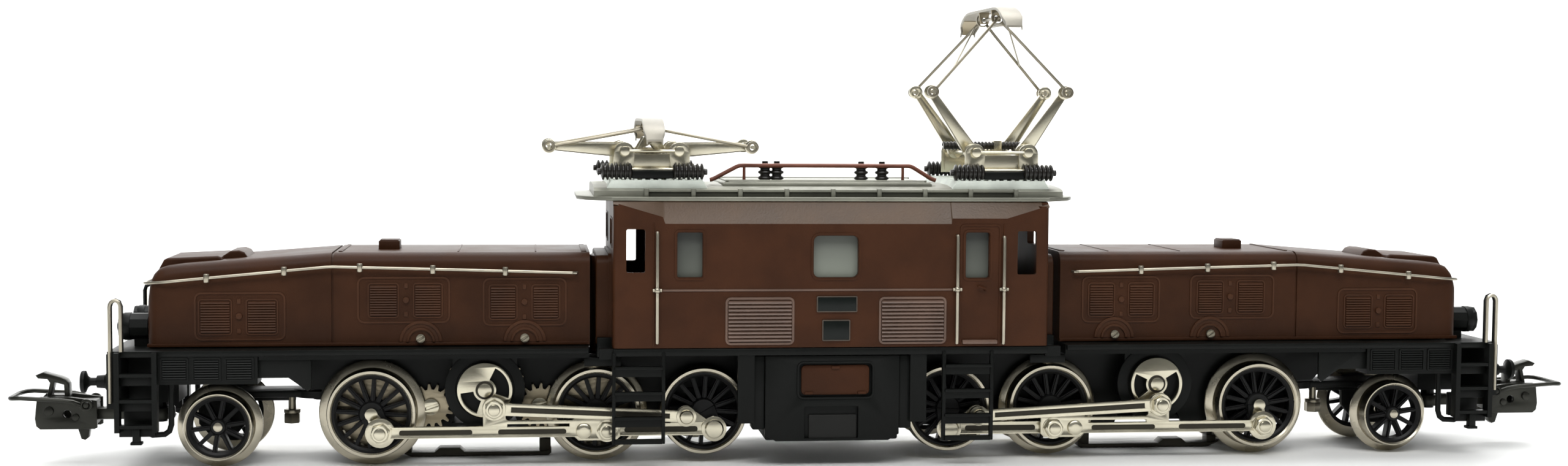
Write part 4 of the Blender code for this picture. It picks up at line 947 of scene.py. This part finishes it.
def panto_lower_arm(end, hand, body):
    """Pair of folded channels on a cross tube, tapering to the elbow eyes."""
    pivot, elbow, _ = arm_points(end, hand)
    shapes = [rod("y", (pivot[0], -10.0, pivot[1]), 20.0, 0.55, bevel=0.08)]
    length = math.dist(pivot, elbow)
    along = ((elbow[0] - pivot[0]) / length, (elbow[1] - pivot[1]) / length)
    up = (-along[1], along[0])
    stop = (elbow[0] - along[0] * 0.7, elbow[1] - along[1] * 0.7)
    for out in SIDES.values():
        shapes.append(plate("xz", slanted(pivot, stop, 1.15, 0.62), (out * 6.45, out * 6.7), bevel=0.04))
        for rise in (-1, 1):
            a = (pivot[0] + up[0] * rise * 1.05, pivot[1] + up[1] * rise * 1.05)
            b = (stop[0] + up[0] * rise * 0.54, stop[1] + up[1] * rise * 0.54)
            shapes.append(plate("xz", slanted(a, b, 0.1, 0.08), (out * 5.6, out * 6.7)))
        eye = circle(elbow, 1.12)
        shapes.append(plate("xz", eye, (out * 6.2, out * 6.75), [circle(elbow, 0.5)], 0.1))
        shapes.append(rod("y", (elbow[0], out * 6.0, elbow[1]), out * 3.1, 0.32))
        shapes.append(rod("y", (pivot[0], out * 6.2, pivot[1]), out * 0.7, 1.3, bevel=0.12))
    piece(body + "_channels", body, NICKEL, shapes, [body])


def panto_upper_arm(end, hand, body):
    """Two bent wires on a cross bar, with one diagonal brace."""
    _, elbow, apex = arm_points(end, hand)
    foot, top = Vector((elbow[0], 0, elbow[1])), Vector((apex[0], 0, apex[1]))
    toward = (top - foot).normalized()
    lead = hand < 0
    stop = top if lead else top - toward * 0.98
    head_y = 6.2 if lead else 5.5
    bar_at = top if lead else top - toward * 1.45
    shapes = [rod("y", (bar_at.x, -head_y - 0.35, bar_at.z), 2 * head_y + 0.7, 0.27, bevel=0.05)]
    for out in SIDES.values():
        shapes.append(plate("xz", circle(elbow, 0.95), (out * 8.15, out * 8.75), [circle(elbow, 0.5)], 0.1))
        start = foot + toward * 0.8 + Vector((0, out * 8.45, 0))
        finish_at = stop + Vector((0, out * head_y, 0))
        knee = start.lerp(finish_at, 0.86) + Vector((0, out * 0.25, 0))
        shapes.append(tube([start, start.lerp(knee, 0.98), knee, knee.lerp(finish_at, 0.08), finish_at], 0.25,
                           resolution=3))
        if out == hand:
            brace_end = start.lerp(finish_at, 0.88)
            brace_foot = start.lerp(finish_at, 0.25 if lead else 0.37)
            across = Vector((brace_end.x, -brace_end.y, brace_end.z))
            shapes.append(tube([brace_foot, across], 0.16))
        if not lead:
            shapes.append(plate("xz", circle(apex, 1.1), (out * 5.25, out * 5.75), [circle(apex, 0.87)], 0.06))
    piece(body + "_wires", body, WIRE, shapes, [body])


def panto_head(end):
    """Contact bow with turned-down horns, a pale wearing face and hollow channel ends."""
    body = "panto_head_" + end
    apex = PIVOT[body]
    rise, thick = 1.6, 0.3
    horn = [(0.0, 0.0), (4.0, 0.0), (9.0, 0.0), (11.0, -0.12), (12.8, -0.5), (14.4, -1.05), (15.8, -1.75),
            (16.8, -2.6), (17.3, -3.25)]
    route = [(-y, z) for y, z in reversed(horn[1:])] + horn
    face = []
    lining = []
    for y, z in route:
        lip = 0.5 if abs(y) < 14 else 0.75
        half = 1.65 if abs(y) < 16.5 else 1.3
        top = apex.z + rise + z
        face.append([(apex.x - half, y, top - lip), (apex.x - half, y, top - 0.12),
                     (apex.x - half + 0.25, y, top), (apex.x + half - 0.25, y, top),
                     (apex.x + half, y, top - 0.12), (apex.x + half, y, top - lip),
                     (apex.x + half - 0.2, y, top - lip), (apex.x + half - 0.3, y, top - thick),
                     (apex.x - half + 0.3, y, top - thick), (apex.x - half + 0.2, y, top - lip)])
        lining.append([(apex.x - half + 0.32, y * 0.99, top - thick - 0.06),
                       (apex.x + half - 0.32, y * 0.99, top - thick - 0.06),
                       (apex.x + half - 0.32, y * 0.99, top - thick + 0.05),
                       (apex.x - half + 0.32, y * 0.99, top - thick + 0.05)])
    piece(body + "_bow", body, BOW_PALE, [loft(face)], [body])
    ears = [loft(lining[:4]), loft(lining[-4:])]
    for out in SIDES.values():
        ear = [(-0.7, -0.6), (0.7, -0.6), (0.9, 1.5), (-0.9, 1.5)]
        ear = [(apex.x + x, apex.z + z) for x, z in ear]
        ears.append(plate("xz", ear, (out * 4.3, out * 4.8), [circle((apex.x, apex.z), 0.4)], 0.06))
    piece(body + "_ears", body, GEAR, ears)


# Hoods

def arch_section(u_signed, half, base, top, radius):
    """Hood cross-section at one place along X: straight sides and rounded top corners."""
    points = [(-half, base)]
    points += arc((-half + radius, top - radius), radius, 180, 90, 7)
    points += arc((half - radius, top - radius), radius, 90, 0, 7)
    points.append((half, base))
    return [(u_signed, y, z) for y, z in points]


def hood_shell(end):
    sign = ENDS[end]
    half = HOOD_HALF_WIDTH
    rear = [(37.7, half, HOOD_TOP, 1.9), (77.05, half, HOOD_TOP, 1.9)]
    nose = [(77.4, half, HOOD_TOP - 0.02, 1.9), (99.6, half, 31.7, 1.9), (102.2, half, 31.35, 2.0),
            (103.4, half - 0.05, 30.9, 2.1), (104.2, half - 0.25, 30.1, 2.2), (104.7, half - 0.6, 29.1, 2.3),
            (105.0, half - 1.2, 27.7, 2.4)]
    seam = [(76.8, half - 0.25, HOOD_TOP - 0.25, 1.7), (77.6, half - 0.25, HOOD_TOP - 0.27, 1.7)]
    shapes = []
    for sections in (rear, seam, nose):
        shapes.append(loft([arch_section(sign * u, w, 19.0, top, r) for u, w, top, r in sections]))
    hatch = [(94.2, 32.0, 0.3), (94.5, 32.5, 0.4), (95.0, 32.7, 0.4), (102.6, 32.35, 0.4), (103.1, 32.1, 0.4),
             (103.8, 30.8, 0.3)]
    lid = [(90.6, 32.1, 0.2), (91.3, 33.1, 0.3), (92.1, 33.4, 0.3), (93.4, 33.3, 0.3), (94.9, 32.3, 0.2)]
    shapes.append(loft([arch_section(sign * u, 6.6, 30.2, top, r) for u, top, r in hatch]))
    shapes.append(loft([arch_section(sign * u, 4.2, 31.8, top, r) for u, top, r in lid]))
    shapes.append(block((sign * 67.5, sign * 70.8), (-2.2, 2.2), (32.9, 34.75), 0.15))
    shapes.append(block((sign * 67.7, sign * 70.6), (-2.0, 2.0), (34.7, 34.9), 0.06))
    for u in (46.0, 58.0):
        shapes.append(block((sign * u, sign * (u + 0.25)), (-8.4, 8.4), (33.3, 33.5), 0.05))
    for a, b in ((38.2, 39.0), (75.9, 76.5)):
        shapes.append(block((sign * a, sign * b), (-8.2, 8.2), (33.35, 33.55), 0.08))
    for out in SIDES.values():
        shapes.append(block((sign * 37.7, sign * 105.0), (out * 10.4, out * 10.75), (19.0, 19.55), 0.12))
    return shapes


# Door panels of a hood side: both edges along u, height range, and the two louvre patches
HOOD_PANELS = [
    ((84.3, 98.0), (20.0, 27.4), (85.8, 89.9), (92.7, 97.0), (21.2, 26.0)),
    ((59.3, 73.5), (22.5, 29.7), (60.8, 64.6), (67.5, 71.5), (23.7, 28.4)),
    ((41.3, 54.3), (22.0, 29.5), (42.7, 46.4), (49.3, 53.0), (23.3, 28.1)),
]
HOOD_BOSSES = {"left": (63.8, 47.8), "right": (62.7, 46.7)}


def hood_details(end):
    sign = ENDS[end]
    shapes = []
    bosses = []
    for out in SIDES.values():
        face = HOOD_HALF_WIDTH
        proud = (out * (face - 0.05), out * (face + 0.15))
        for u, z, first, second, patch_z in HOOD_PANELS:
            shapes.append(outline_bead("xz", (sign * u[0], sign * u[1]), z, 1.1, 0.28, proud))
            for patch in (first, second):
                shapes.append(outline_bead("xz", (sign * (patch[0] - 0.4), sign * (patch[1] + 0.4)),
                                           (patch_z[0] - 0.4, patch_z[1] + 0.4), 0.6, 0.2, proud))
                shapes.append(louvres((sign * patch[0], sign * patch[1]), patch_z, 12, face, 0.27, out))
            middle = sign * (first[1] + second[0]) / 2
            mid_z = (z[0] + z[1]) / 2
            shapes.append(rod("y", (middle, out * (face - 0.05), mid_z), out * 0.4, 0.5, bevel=0.12))
            for low in (z[0] + 1.0, z[1] - 1.8):
                shapes.append(block((middle - 0.3, middle + 0.3), proud, (low, low + 0.8), 0.08))
        for u in HOOD_BOSSES[end]:
            foot = (sign * u, 19.6)
            for outer, inner, rise in ((3.3, 2.8, 0.32), (2.2, 1.8, 0.45)):
                ring = arc(foot, outer, 0, 180, 20) + arc(foot, inner, 180, 0, 20)
                shapes.append(plate("xz", ring, (out * (face - 0.05), out * (face + rise)), bevel=0.08))
            shapes.append(plate("xz", arc(foot, 3.0, 0, 180, 20), (out * (face - 0.05), out * (face + 0.12))))
            bosses += slotted_screw((sign * u, 20.15), out * (face + 0.4), out, 0.7, 35)
    return shapes, bosses


def hood(end):
    body = "bogie_" + end
    details, bosses = hood_details(end)
    piece("hood_shell_" + end, body, HOOD_BROWN, hood_shell(end), ["hood_" + end])
    piece("hood_panels_" + end, body, HOOD_BEAD, details)
    piece("hood_screws_" + end, body, WIRE, bosses)


def hood_handrail(end):
    sign = ENDS[end]
    y = HOOD_HALF_WIDTH + 0.9
    flank = [(40.4, 30.3), (59.0, 30.83), (77.0, 31.3), (78.2, 31.26), (100.0, 29.24)]
    corner = [(101.8, 11.3, 29.05), (103.6, 10.8, 28.9), (104.8, 9.9, 28.77), (105.5, 8.8, 28.68),
              (105.85, 7.4, 28.62), (105.95, 5.5, 28.6), (105.95, 0.0, 28.6)]
    route = [(sign * u, -y, z) for u, z in flank] + [(sign * u, -w, z) for u, w, z in corner]
    route += [(sign * u, w, z) for u, w, z in reversed(corner[:-1])]
    route += [(sign * u, y, z) for u, z in reversed(flank)]
    shapes = [tube(route, 0.23, resolution=3)]
    for out in SIDES.values():
        shapes.append(tube([(sign * 40.4, out * y, 30.3), (sign * 39.9, out * (y - 0.15), 30.28),
                            (sign * 39.6, out * (y - 1.2), 30.27)], 0.23, resolution=3))
        for u, z in ((50.8, 30.58), (61.9, 30.88), (73.0, 31.18), (84.4, 30.68), (96.0, 29.61)):
            shapes.append(rod("z", (sign * u, out * y, z - 0.65), 1.3, 0.45, bevel=0.12))
            shapes.append(rod("y", (sign * u, out * (y - 1.2), z), out * 1.1, 0.26))
    piece("hood_rail_" + end, "bogie_" + end, RAIL, shapes, ["hood_handrail_" + end])


# Frames and running-board details

def carry_over(node, material):
    """Gives a CAD node that stays in view its finish."""
    for place in frame["nodes"][node].material_slots:
        place.material = material


def bogie_details(end):
    sign = ENDS[end]
    body = "bogie_" + end
    carry_over("bogie_frame_" + end, BLACK)
    black = []
    bright = []
    for out in SIDES.values():
        x = sign * JACK_U
        ring = [(4.5, 9.2), (6.05, 9.2), (6.2, 9.3), (6.2, 9.45), (6.0, 9.5), (4.6, 9.5)]
        guard = lathe("y", (x, 0, JACK_Z), [(r, out * h) for r, h in ring], 64, True)
        black.append(guard)
        for low, high in ((88.6, 93.0), (93.5, 97.8), (98.3, 102.5)):
            black.append(outline_bead("xz", (sign * low, sign * high), (14.2, 17.8), 0.3, 0.25,
                                      (out * 14.15, out * 14.4)))
            black.append(louvres((sign * (low + 0.4), sign * (high - 0.4)), (14.5, 17.5), 8, 14.2, 0.22, out))
        black.append(block((sign * 38.0, sign * 110.2), (out * 13.7, out * 14.5), (18.0, 18.85), 0.15))
        for u, z in ((DRIVER_U["outer"], AXLE_Z), (DRIVER_U["middle"], AXLE_Z), (DRIVER_U["inner"], AXLE_Z)):
            black.append(block((sign * u - 2.4, sign * u + 2.4), (out * 5.5, out * 6.2), (5.9, 11.4), 0.25))
        backing_y = (out * 4.65, out * 5.55)
        for outline, axles in (([(13.6, 12.6), (13.6, 5.8), (15.0, 5.0), (43.0, 5.0), (43.0, 12.6)], ("inner", "middle")),
                               ([(65.4, 12.6), (65.4, 5.2), (77.0, 5.2), (79.4, 8.0), (79.4, 12.6)], ("outer",))):
            holes = [circle((sign * DRIVER_U[name], AXLE_Z), 1.35) for name in axles]
            black.append(plate("xz", [(sign * u, z) for u, z in outline], backing_y, holes))
        black.append(block((sign * 32.8, sign * 38.6), (out * 10.5, out * 11.0), (15.6, 16.95), 0.12))
        black.append(block((sign * 103.4, sign * 108.4), (out * 10.6, out * 11.6), (6.4, 10.2), 0.15))
        skirt = [(88.2, 18.0), (88.2, 14.5), (83.6, 14.5), (80.7, 12.4), (80.2, 13.0), (80.2, 18.0)]
        black.append(plate("xz", [(sign * u, z) for u, z in skirt], (out * 12.9, out * 13.5), bevel=0.08))
        y = out * 14.65
        top = [(sign * 109.75, 25.0)] + [(sign * 108.95 + sign * 0.8 * math.cos(a), 25.6 + 0.95 * math.sin(a))
                                         for a in [math.pi * i / 8 for i in range(9)]]
        route = [(sign * 109.75, y, 11.0)] + [(u, y, z) for u, z in top] + [(sign * 108.15, y, 18.8)]
        bright.append(tube(route, 0.27, resolution=3))
        lamp = (sign * 109.75, out * 6.0, 21.8)
        rim = [(r, sign * h) for r, h in ((1.2, -1.6), (2.15, -1.6), (2.15, -0.7), (1.75, 0.05), (1.2, 0.05))]
        black.append(lathe("x", lamp, rim, 32, True))
        pipe_y = out * 12.4
        pipe = [(101.2, 14.2), (101.2, 7.4), (101.5, 6.4), (102.2, 5.9), (104.0, 5.8), (104.9, 6.2), (105.2, 7.4)]
        black.append(tube([(sign * u, pipe_y, z) for u, z in pipe], 0.45, resolution=3))
        black.append(block((sign * 105.4, sign * 106.5), (out * 13.9, out * 15.2), (5.0, 7.4), 0.1))
        black.append(block((sign * 105.1, sign * 106.8), (out * 13.7, out * 15.3), (4.7, 5.15), 0.1))
        for z in (15.5, 11.6, 7.7):
            black.append(block((sign * 103.3, sign * 108.6), (out * 13.8, out * 14.2), (z - 1.9, z - 0.4), 0.06))
    piece("bogie_trim_" + end, body, BLACK, black)
    piece("corner_rails_" + end, body, RAIL, bright)
    lenses = []
    for out in SIDES.values():
        profile = [(r, sign * h) for r, h in ((0, 0.5), (0.5, 0.42), (0.95, 0.15), (1.25, -0.1), (1.25, -0.4), (0, -0.4))]
        lenses.append(lathe("x", (sign * 109.85, out * 6.0, 21.8), profile, 32))
    piece("lamp_lenses_" + end, body, LENS, lenses)


def buffers(end):
    sign = ENDS[end]
    for side, out in SIDES.items():
        reach = BUFFER_FACE - BUFFER_FOOT
        profile = [(0, reach), (1.0, reach - 0.03), (1.6, reach - 0.15), (1.7, reach - 0.35), (1.68, reach - 0.75),
                   (0.9, reach - 1.1), (0.62, reach - 1.5), (0.62, 2.2), (0.95, 2.1), (1.05, 0.9), (1.45, 0.6), (1.5, 0), (0, 0)]
        centre = (sign * BUFFER_FOOT, out * 10.0, 13.75)
        shape = lathe("x", centre, [(r, sign * h) for r, h in profile], 36)
        foot = block((sign * 110.4, sign * 110.75), (out * 10 - 1.7, out * 10 + 1.7), (12.05, 15.45), 0.12)
        piece(f"buffer_{side}_{end}_turned", "bogie_" + end, BLACK, [shape, foot],
              [f"buffer_{side}_{end}"])


def centre_frame():
    carry_over("centre_frame", BLACK)
    shapes = []
    for out in SIDES.values():
        shapes.append(block((-34.3, 34.3), (out * 15.6, out * 16.7), (17.75, 18.9), 0.2))
        for near_x in (-30.35, 21.4):
            x = -out * near_x
            for rail in (-1, 1):
                shapes.append(block((x + rail * 3.55, x + rail * 4.1), (out * 16.0, out * 16.95), (4.2, 18.3), 0.12))
            for low, high in ((14.6, 16.2), (10.8, 12.3), (6.8, 8.4)):
                shapes.append(block((x - 3.7, x + 3.7), (out * 16.15, out * 16.55), (low, high), 0.08))
                shapes.append(block((x - 3.7, x + 3.7), (out * 16.15, out * 17.3), (high - 0.45, high), 0.1))
            shapes.append(block((x - 3.7, x + 3.7), (out * 16.15, out * 17.3), (4.2, 4.9), 0.12))
    piece("ladders", "body", BLACK, shapes)


def equipment_box():
    body = "body"
    shapes = []
    hatches = []
    clips = []
    for out in SIDES.values():
        face = [(-10.6, 17.6), (-10.6, 5.2), (-8.9, 4.2), (8.9, 4.2), (10.6, 5.2), (10.6, 17.6)]
        window = rounded((-5.4, 6.3) if out < 0 else (-6.3, 5.4), (11.0, 16.5), 0.8)
        mouth = (-4.4, 4.1) if out < 0 else (-4.1, 4.4)
        notch = rounded(mouth, (4.6, 9.6), 0.2)
        shapes.append(plate("xz", face, (out * 15.2, out * 16.0), [window, notch], 0.1))
        a, b = (-4.9, 5.9) if out < 0 else (-5.9, 4.9)
        shapes.append(outline_bead("xz", (a - 0.7, b + 0.7), (10.8, 16.7), 1.0, 0.3, (out * 15.9, out * 16.15)))
        hatches.append(plate("xz", rounded((a, b), (11.4, 16.1), 0.7), (out * 15.0, out * 15.6), bevel=0.15))
        middle = (a + b) / 2
        for x, z in ((middle, 15.7), (a + 1.2, 11.7), (b - 1.2, 11.7)):
            hatches.append(block((x - 0.65, x + 0.65), (out * 15.5, out * 15.85), (z - 0.22, z + 0.22), 0.08))
        flap = (-3.7, 3.9) if out < 0 else (-3.9, 3.7)
        clips.append(block(flap, (out * 14.9, out * 15.75), (4.25, 8.3), 0.15))
    shapes.append(block((-10.5, 10.5), (-15.3, 15.3), (4.25, 17.6), 0.3))
    for sign in ENDS.values():
        for out in SIDES.values():
            shapes.append(block((sign * 10.6, sign * 12.6), (out * 12.0, out * 15.6), (6.0, 17.6), 0.25))
    piece("equipment_casing", body, BLACK, shapes, ["equipment_box"])
    piece("equipment_hatches", body, BROWN, hatches)
    piece("equipment_flaps", body, RUBBER, clips)


def pilot_truck(end):
    sign = ENDS[end]
    body = "pilot_truck_" + end
    pivot = PIVOT[body]
    arm = [(79.5, 3.0), (83.5, 3.4), (88.0, 3.2), (97.3, 4.3)]
    outline = [(sign * u, -w) for u, w in arm] + [(sign * u, w) for u, w in reversed(arm)]
    hole = circle((sign * 80.0, 0), 1.7)
    shapes = [plate("xy", outline, (10.1, 11.1), [hole], 0.15)]
    ring = [(1.7, 10.0), (4.4, 10.0), (4.4, 11.1), (4.2, 11.2), (1.7, 11.2)]
    shapes.append(lathe("z", (pivot.x, 0, 0), ring, 36, True))
    for out in SIDES.values():
        cheek = [(91.0, 10.8), (98.6, 10.8), (98.4, 6.2), (96.6, 4.3), (92.8, 4.3), (91.2, 6.2)]
        axle = circle((sign * 94.7, PILOT_R), 1.0)
        cheek = [(sign * u, z) for u, z in cheek]
        shapes.append(plate("xz", cheek, (out * 3.4, out * 4.4), [axle], 0.12))
    shapes.append(block((sign * 84.0, sign * 92.0), (-0.4, 0.4), (9.2, 10.2), 0.12))
    piece(body + "_arm", body, BLACK, shapes, [body])
    nickel = [rod("z", (sign * 84.6, 0, 7.0), 3.2, 0.6), rod("z", (sign * 84.6, 0, 5.6), 1.6, 1.35, bevel=0.15, segments=6),
              rod("z", (sign * 84.6, 0, 7.2), 0.6, 1.3, bevel=0.1)]
    piece(body + "_nut", body, WIRE, nickel)


def pickup_shoe(end):
    sign = ENDS[end]
    body = "pickup_shoe_" + end
    ski = [(44.0, 0.15), (66.0, 0.15), (67.8, 0.9), (67.8, 1.2), (66.4, 0.75), (62.2, 0.75), (61.4, 1.45),
           (58.2, 1.45), (57.4, 0.75), (44.4, 0.75), (43.6, 1.1), (43.6, 0.5)]
    shapes = [plate("xz", [(sign * u, z) for u, z in ski], (-1.5, 1.5), bevel=0.1)]
    shapes += [rod("z", (sign * u, 0, 0.7), 6.2, 0.5) for u in (44.6, 66.6)]
    shapes.append(block((sign * 43.7, sign * 45.5), (-1.2, 1.2), (0.6, 2.8), 0.12))
    shapes.append(block((sign * 65.8, sign * 67.4), (-1.2, 1.2), (0.6, 2.0), 0.12))
    piece(body + "_ski", body, GROOVE, shapes, [body])


def coupler(end):
    sign = ENDS[end]
    body = "coupler_" + end
    head = [(114.2, 5.5), (114.6, 5.3), (122.8, 5.3), (123.4, 5.8), (123.6, 7.0), (123.3, 9.9),
            (122.8, 10.4), (118.5, 10.4), (114.2, 9.8)]
    hook = [(118.6, 9.8), (118.7, 12.2), (119.1, 12.9), (119.9, 13.3), (122.6, 14.1), (123.8, 13.6), (123.4, 13.1),
            (122.0, 13.0), (121.6, 12.4), (122.2, 9.8)]
    tail = [(115.6, 5.8), (115.9, 3.7), (116.4, 3.3), (117.0, 3.5), (117.7, 5.8)]
    place = [[(sign * u, z) for u, z in outline] for outline in (head, hook, tail)]
    window = [(sign * u, z) for u, z in ((119.4, 10.5), (119.5, 12.1), (120.9, 12.5), (121.4, 10.5))]
    eyelet = [circle((sign * 118.7, 7.7), 0.62)]
    shapes = [plate("xz", place[0], (-2.6, -1.9), eyelet, 0.15), plate("xz", place[0], (1.9, 2.6), eyelet, 0.15),
              plate("xz", place[1], (-1.1, 1.1), [window], 0.2), plate("xz", place[2], (-0.8, 0.8), bevel=0.15)]
    shapes.append(block((sign * 114.4, sign * 122.6), (-2.2, 2.2), (9.0, 9.7), 0.2))
    shapes.append(block((sign * 121.2, sign * 122.8), (-2.2, 2.2), (5.6, 9.4), 0.25))
    shapes.append(block((sign * 114.4, sign * 117.4), (-2.2, 2.2), (5.9, 9.2), 0.25))
    shapes.append(block((sign * 105.5, sign * 115.0), (-1.3, 1.3), (6.6, 8.4), 0.3))
    eye = [(1.4, 6.6), (2.2, 6.6), (2.3, 6.75), (2.3, 8.25), (2.2, 8.4), (1.4, 8.4)]
    shapes.append(lathe("z", (sign * COUPLER_PIVOT_U, 0, 0), eye, 32, True))
    shapes.append(rod("y", (sign * 115.6, -3.9, 9.2), 7.8, 0.42, bevel=0.06))
    for out in SIDES.values():
        shapes.append(rod("y", (sign * 121.4, out * 2.4, 8.2), out * 0.5, 0.7, bevel=0.1))
        shapes.append(rod("y", (sign * 117.4, out * 2.4, 7.2), out * 0.45, 0.55, bevel=0.1))
    piece(body + "_head", body, BRONZE, shapes, [body])

    loop = "coupler_loop_" + end
    u, z = 115.6, 9.2
    half, tip = 4.4, LOOP_TIP - 0.4
    route = []
    for out in (-1, 1):
        leg = [(u + 0.9, out * 3.55, z + 0.1), (117.5, out * 4.1, z + 0.6), (119.0, out * half, z + 0.9),
               (125.2, out * half, z + 1.3), (tip - 0.9, out * (half - 0.25), z + 1.25),
               (tip - 0.3, out * (half - 0.9), z + 1.15), (tip, out * (half - 1.8), z + 1.1)]
        route += [(sign * a, b, c) for a, b, c in (leg if out < 0 else reversed(leg))]
    shapes = [tube(route, 0.35, resolution=3)]
    hinge = (sign * u, z)
    for out in SIDES.values():
        shapes.append(plate("xz", circle(hinge, 1.0), (out * 3.2, out * 3.8), [circle(hinge, 0.55)], 0.1))
    piece(loop + "_wire", loop, BRONZE, shapes, [loop])


# Stage, light and camera

def stage_backdrop():
    """Pale floor that sweeps up into a wall behind the model."""
    half, near, bend, radius, wall = 2.4, -2.6, 1.7, 0.5, 1.6
    section = [(near, 0.0), (bend, 0.0)]
    section += [(bend + radius * math.sin(a), radius - radius * math.cos(a))
                for a in [math.pi / 2 * i / 12 for i in range(1, 13)]]
    section.append((bend + radius, wall))
    bm = bmesh.new()
    rows = [[bm.verts.new((x, y, z)) for y, z in section] for x in (-half, half)]
    for i in range(len(section) - 1):
        bm.faces.new((rows[0][i], rows[1][i], rows[1][i + 1], rows[0][i + 1]))
    mesh = bpy.data.meshes.new("floor")
    bm.to_mesh(mesh)
    bm.free()
    mesh.shade_smooth()
    mesh.materials.append(finish("pale studio floor", (0.86, 0.86, 0.85), 0.7, patch=0.01, patch_mm=200))
    floor = bpy.data.objects.new("studio_floor", mesh)
    bpy.context.scene.collection.objects.link(floor)


def area_light(name, place, target, size, power):
    data = bpy.data.lights.new(name, "AREA")
    data.shape = "RECTANGLE"
    data.size, data.size_y = size
    data.energy = power
    light = bpy.data.objects.new(name, data)
    light.location = place
    light.rotation_euler = (Vector(target) - Vector(place)).to_track_quat("-Z", "Y").to_euler()
    bpy.context.scene.collection.objects.link(light)


def studio_light():
    """Soft light from above, little from the viewer's side, and a lit backdrop."""
    world = bpy.data.worlds.new("studio")
    world.use_nodes = True
    nodes = world.node_tree.nodes
    link = world.node_tree.links.new
    place = nodes.new("ShaderNodeTexCoord")
    split = nodes.new("ShaderNodeSeparateXYZ")
    link(place.outputs["Generated"], split.inputs["Vector"])
    sky = nodes.new("ShaderNodeValToRGB")
    horizon, zenith = sky.color_ramp.elements
    horizon.position, zenith.position = 0.1, 0.8
    horizon.color = (0.06, 0.06, 0.055, 1.0)
    zenith.color = (0.5, 0.52, 0.52, 1.0)
    link(split.outputs["Z"], sky.inputs["Fac"])
    link(sky.outputs["Color"], nodes["Background"].inputs["Color"])
    bpy.context.scene.world = world
    bpy.context.scene.view_settings.view_transform = "Standard"
    area_light("overhead", (-0.05, 0.1, 0.75), (0, 0, 0.02), (0.8, 0.3), 3.0)
    area_light("key", (-0.05, -0.5, 0.62), (0, 0, 0.02), (0.8, 0.25), 4.0)
    area_light("floor_light", (0.2, 0.75, 1.3), (0.2, 0.95, 0), (1.6, 0.4), 16.0)
    area_light("backdrop", (0.3, 1.5, 1.35), (0.3, 2.2, 0.25), (2.4, 0.3), 50.0)


def camera():
    """Camera at the eye of the reference view: slightly left, above deck height, turned right."""
    yaw, pitch, roll = math.radians(7.06), math.radians(3.42), math.radians(0.42)
    forward = Vector((math.sin(yaw) * math.cos(pitch), math.cos(yaw) * math.cos(pitch), -math.sin(pitch)))
    level = Vector((math.cos(yaw), -math.sin(yaw), 0))
    above = level.cross(forward)
    right = math.cos(roll) * level + math.sin(roll) * above
    up = math.cos(roll) * above - math.sin(roll) * level
    turn = Matrix((right, up, -forward)).transposed()
    data = bpy.data.cameras.new("camera")
    data.sensor_width = 36.0
    data.lens = 46.81
    data.clip_start = 0.01
    eye = bpy.data.objects.new("camera", data)
    eye.location = Vector((-46.7, -329.8, 55.7)) * MM
    eye.rotation_euler = turn.to_euler()
    bpy.context.scene.collection.objects.link(eye)
    bpy.context.scene.camera = eye


def main():
    stage_backdrop()
    studio_light()
    camera()
    for side in SIDES:
        cab_side(side)
    cab_ends()
    hood_joints()
    cab_interior()
    roof()
    busbar()
    centre_frame()
    equipment_box()
    gear_train()
    carry_over("reversing_unit", NICKEL)
    carry_over("motor_field", GEAR)
    carry_over("motor_armature", COPPER)
    for end in ENDS:
        panto_base(end)
        panto_spring(end)
        for hand, word in ((-1, "a"), (1, "b")):
            panto_lower_arm(end, hand, f"panto_lower_{word}_{end}")
            panto_upper_arm(end, hand, f"panto_upper_{word}_{end}")
        panto_head(end)
        hood(end)
        hood_handrail(end)
        bogie_details(end)
        buffers(end)
        pilot_truck(end)
        pilot_wheels(end)
        pickup_shoe(end)
        coupler(end)
        jackshaft(end)
        for name in DRIVER_U:
            driver(end, name)
        for side in SIDES:
            front_rod(end, side)
            rear_rod(end, side)


main()
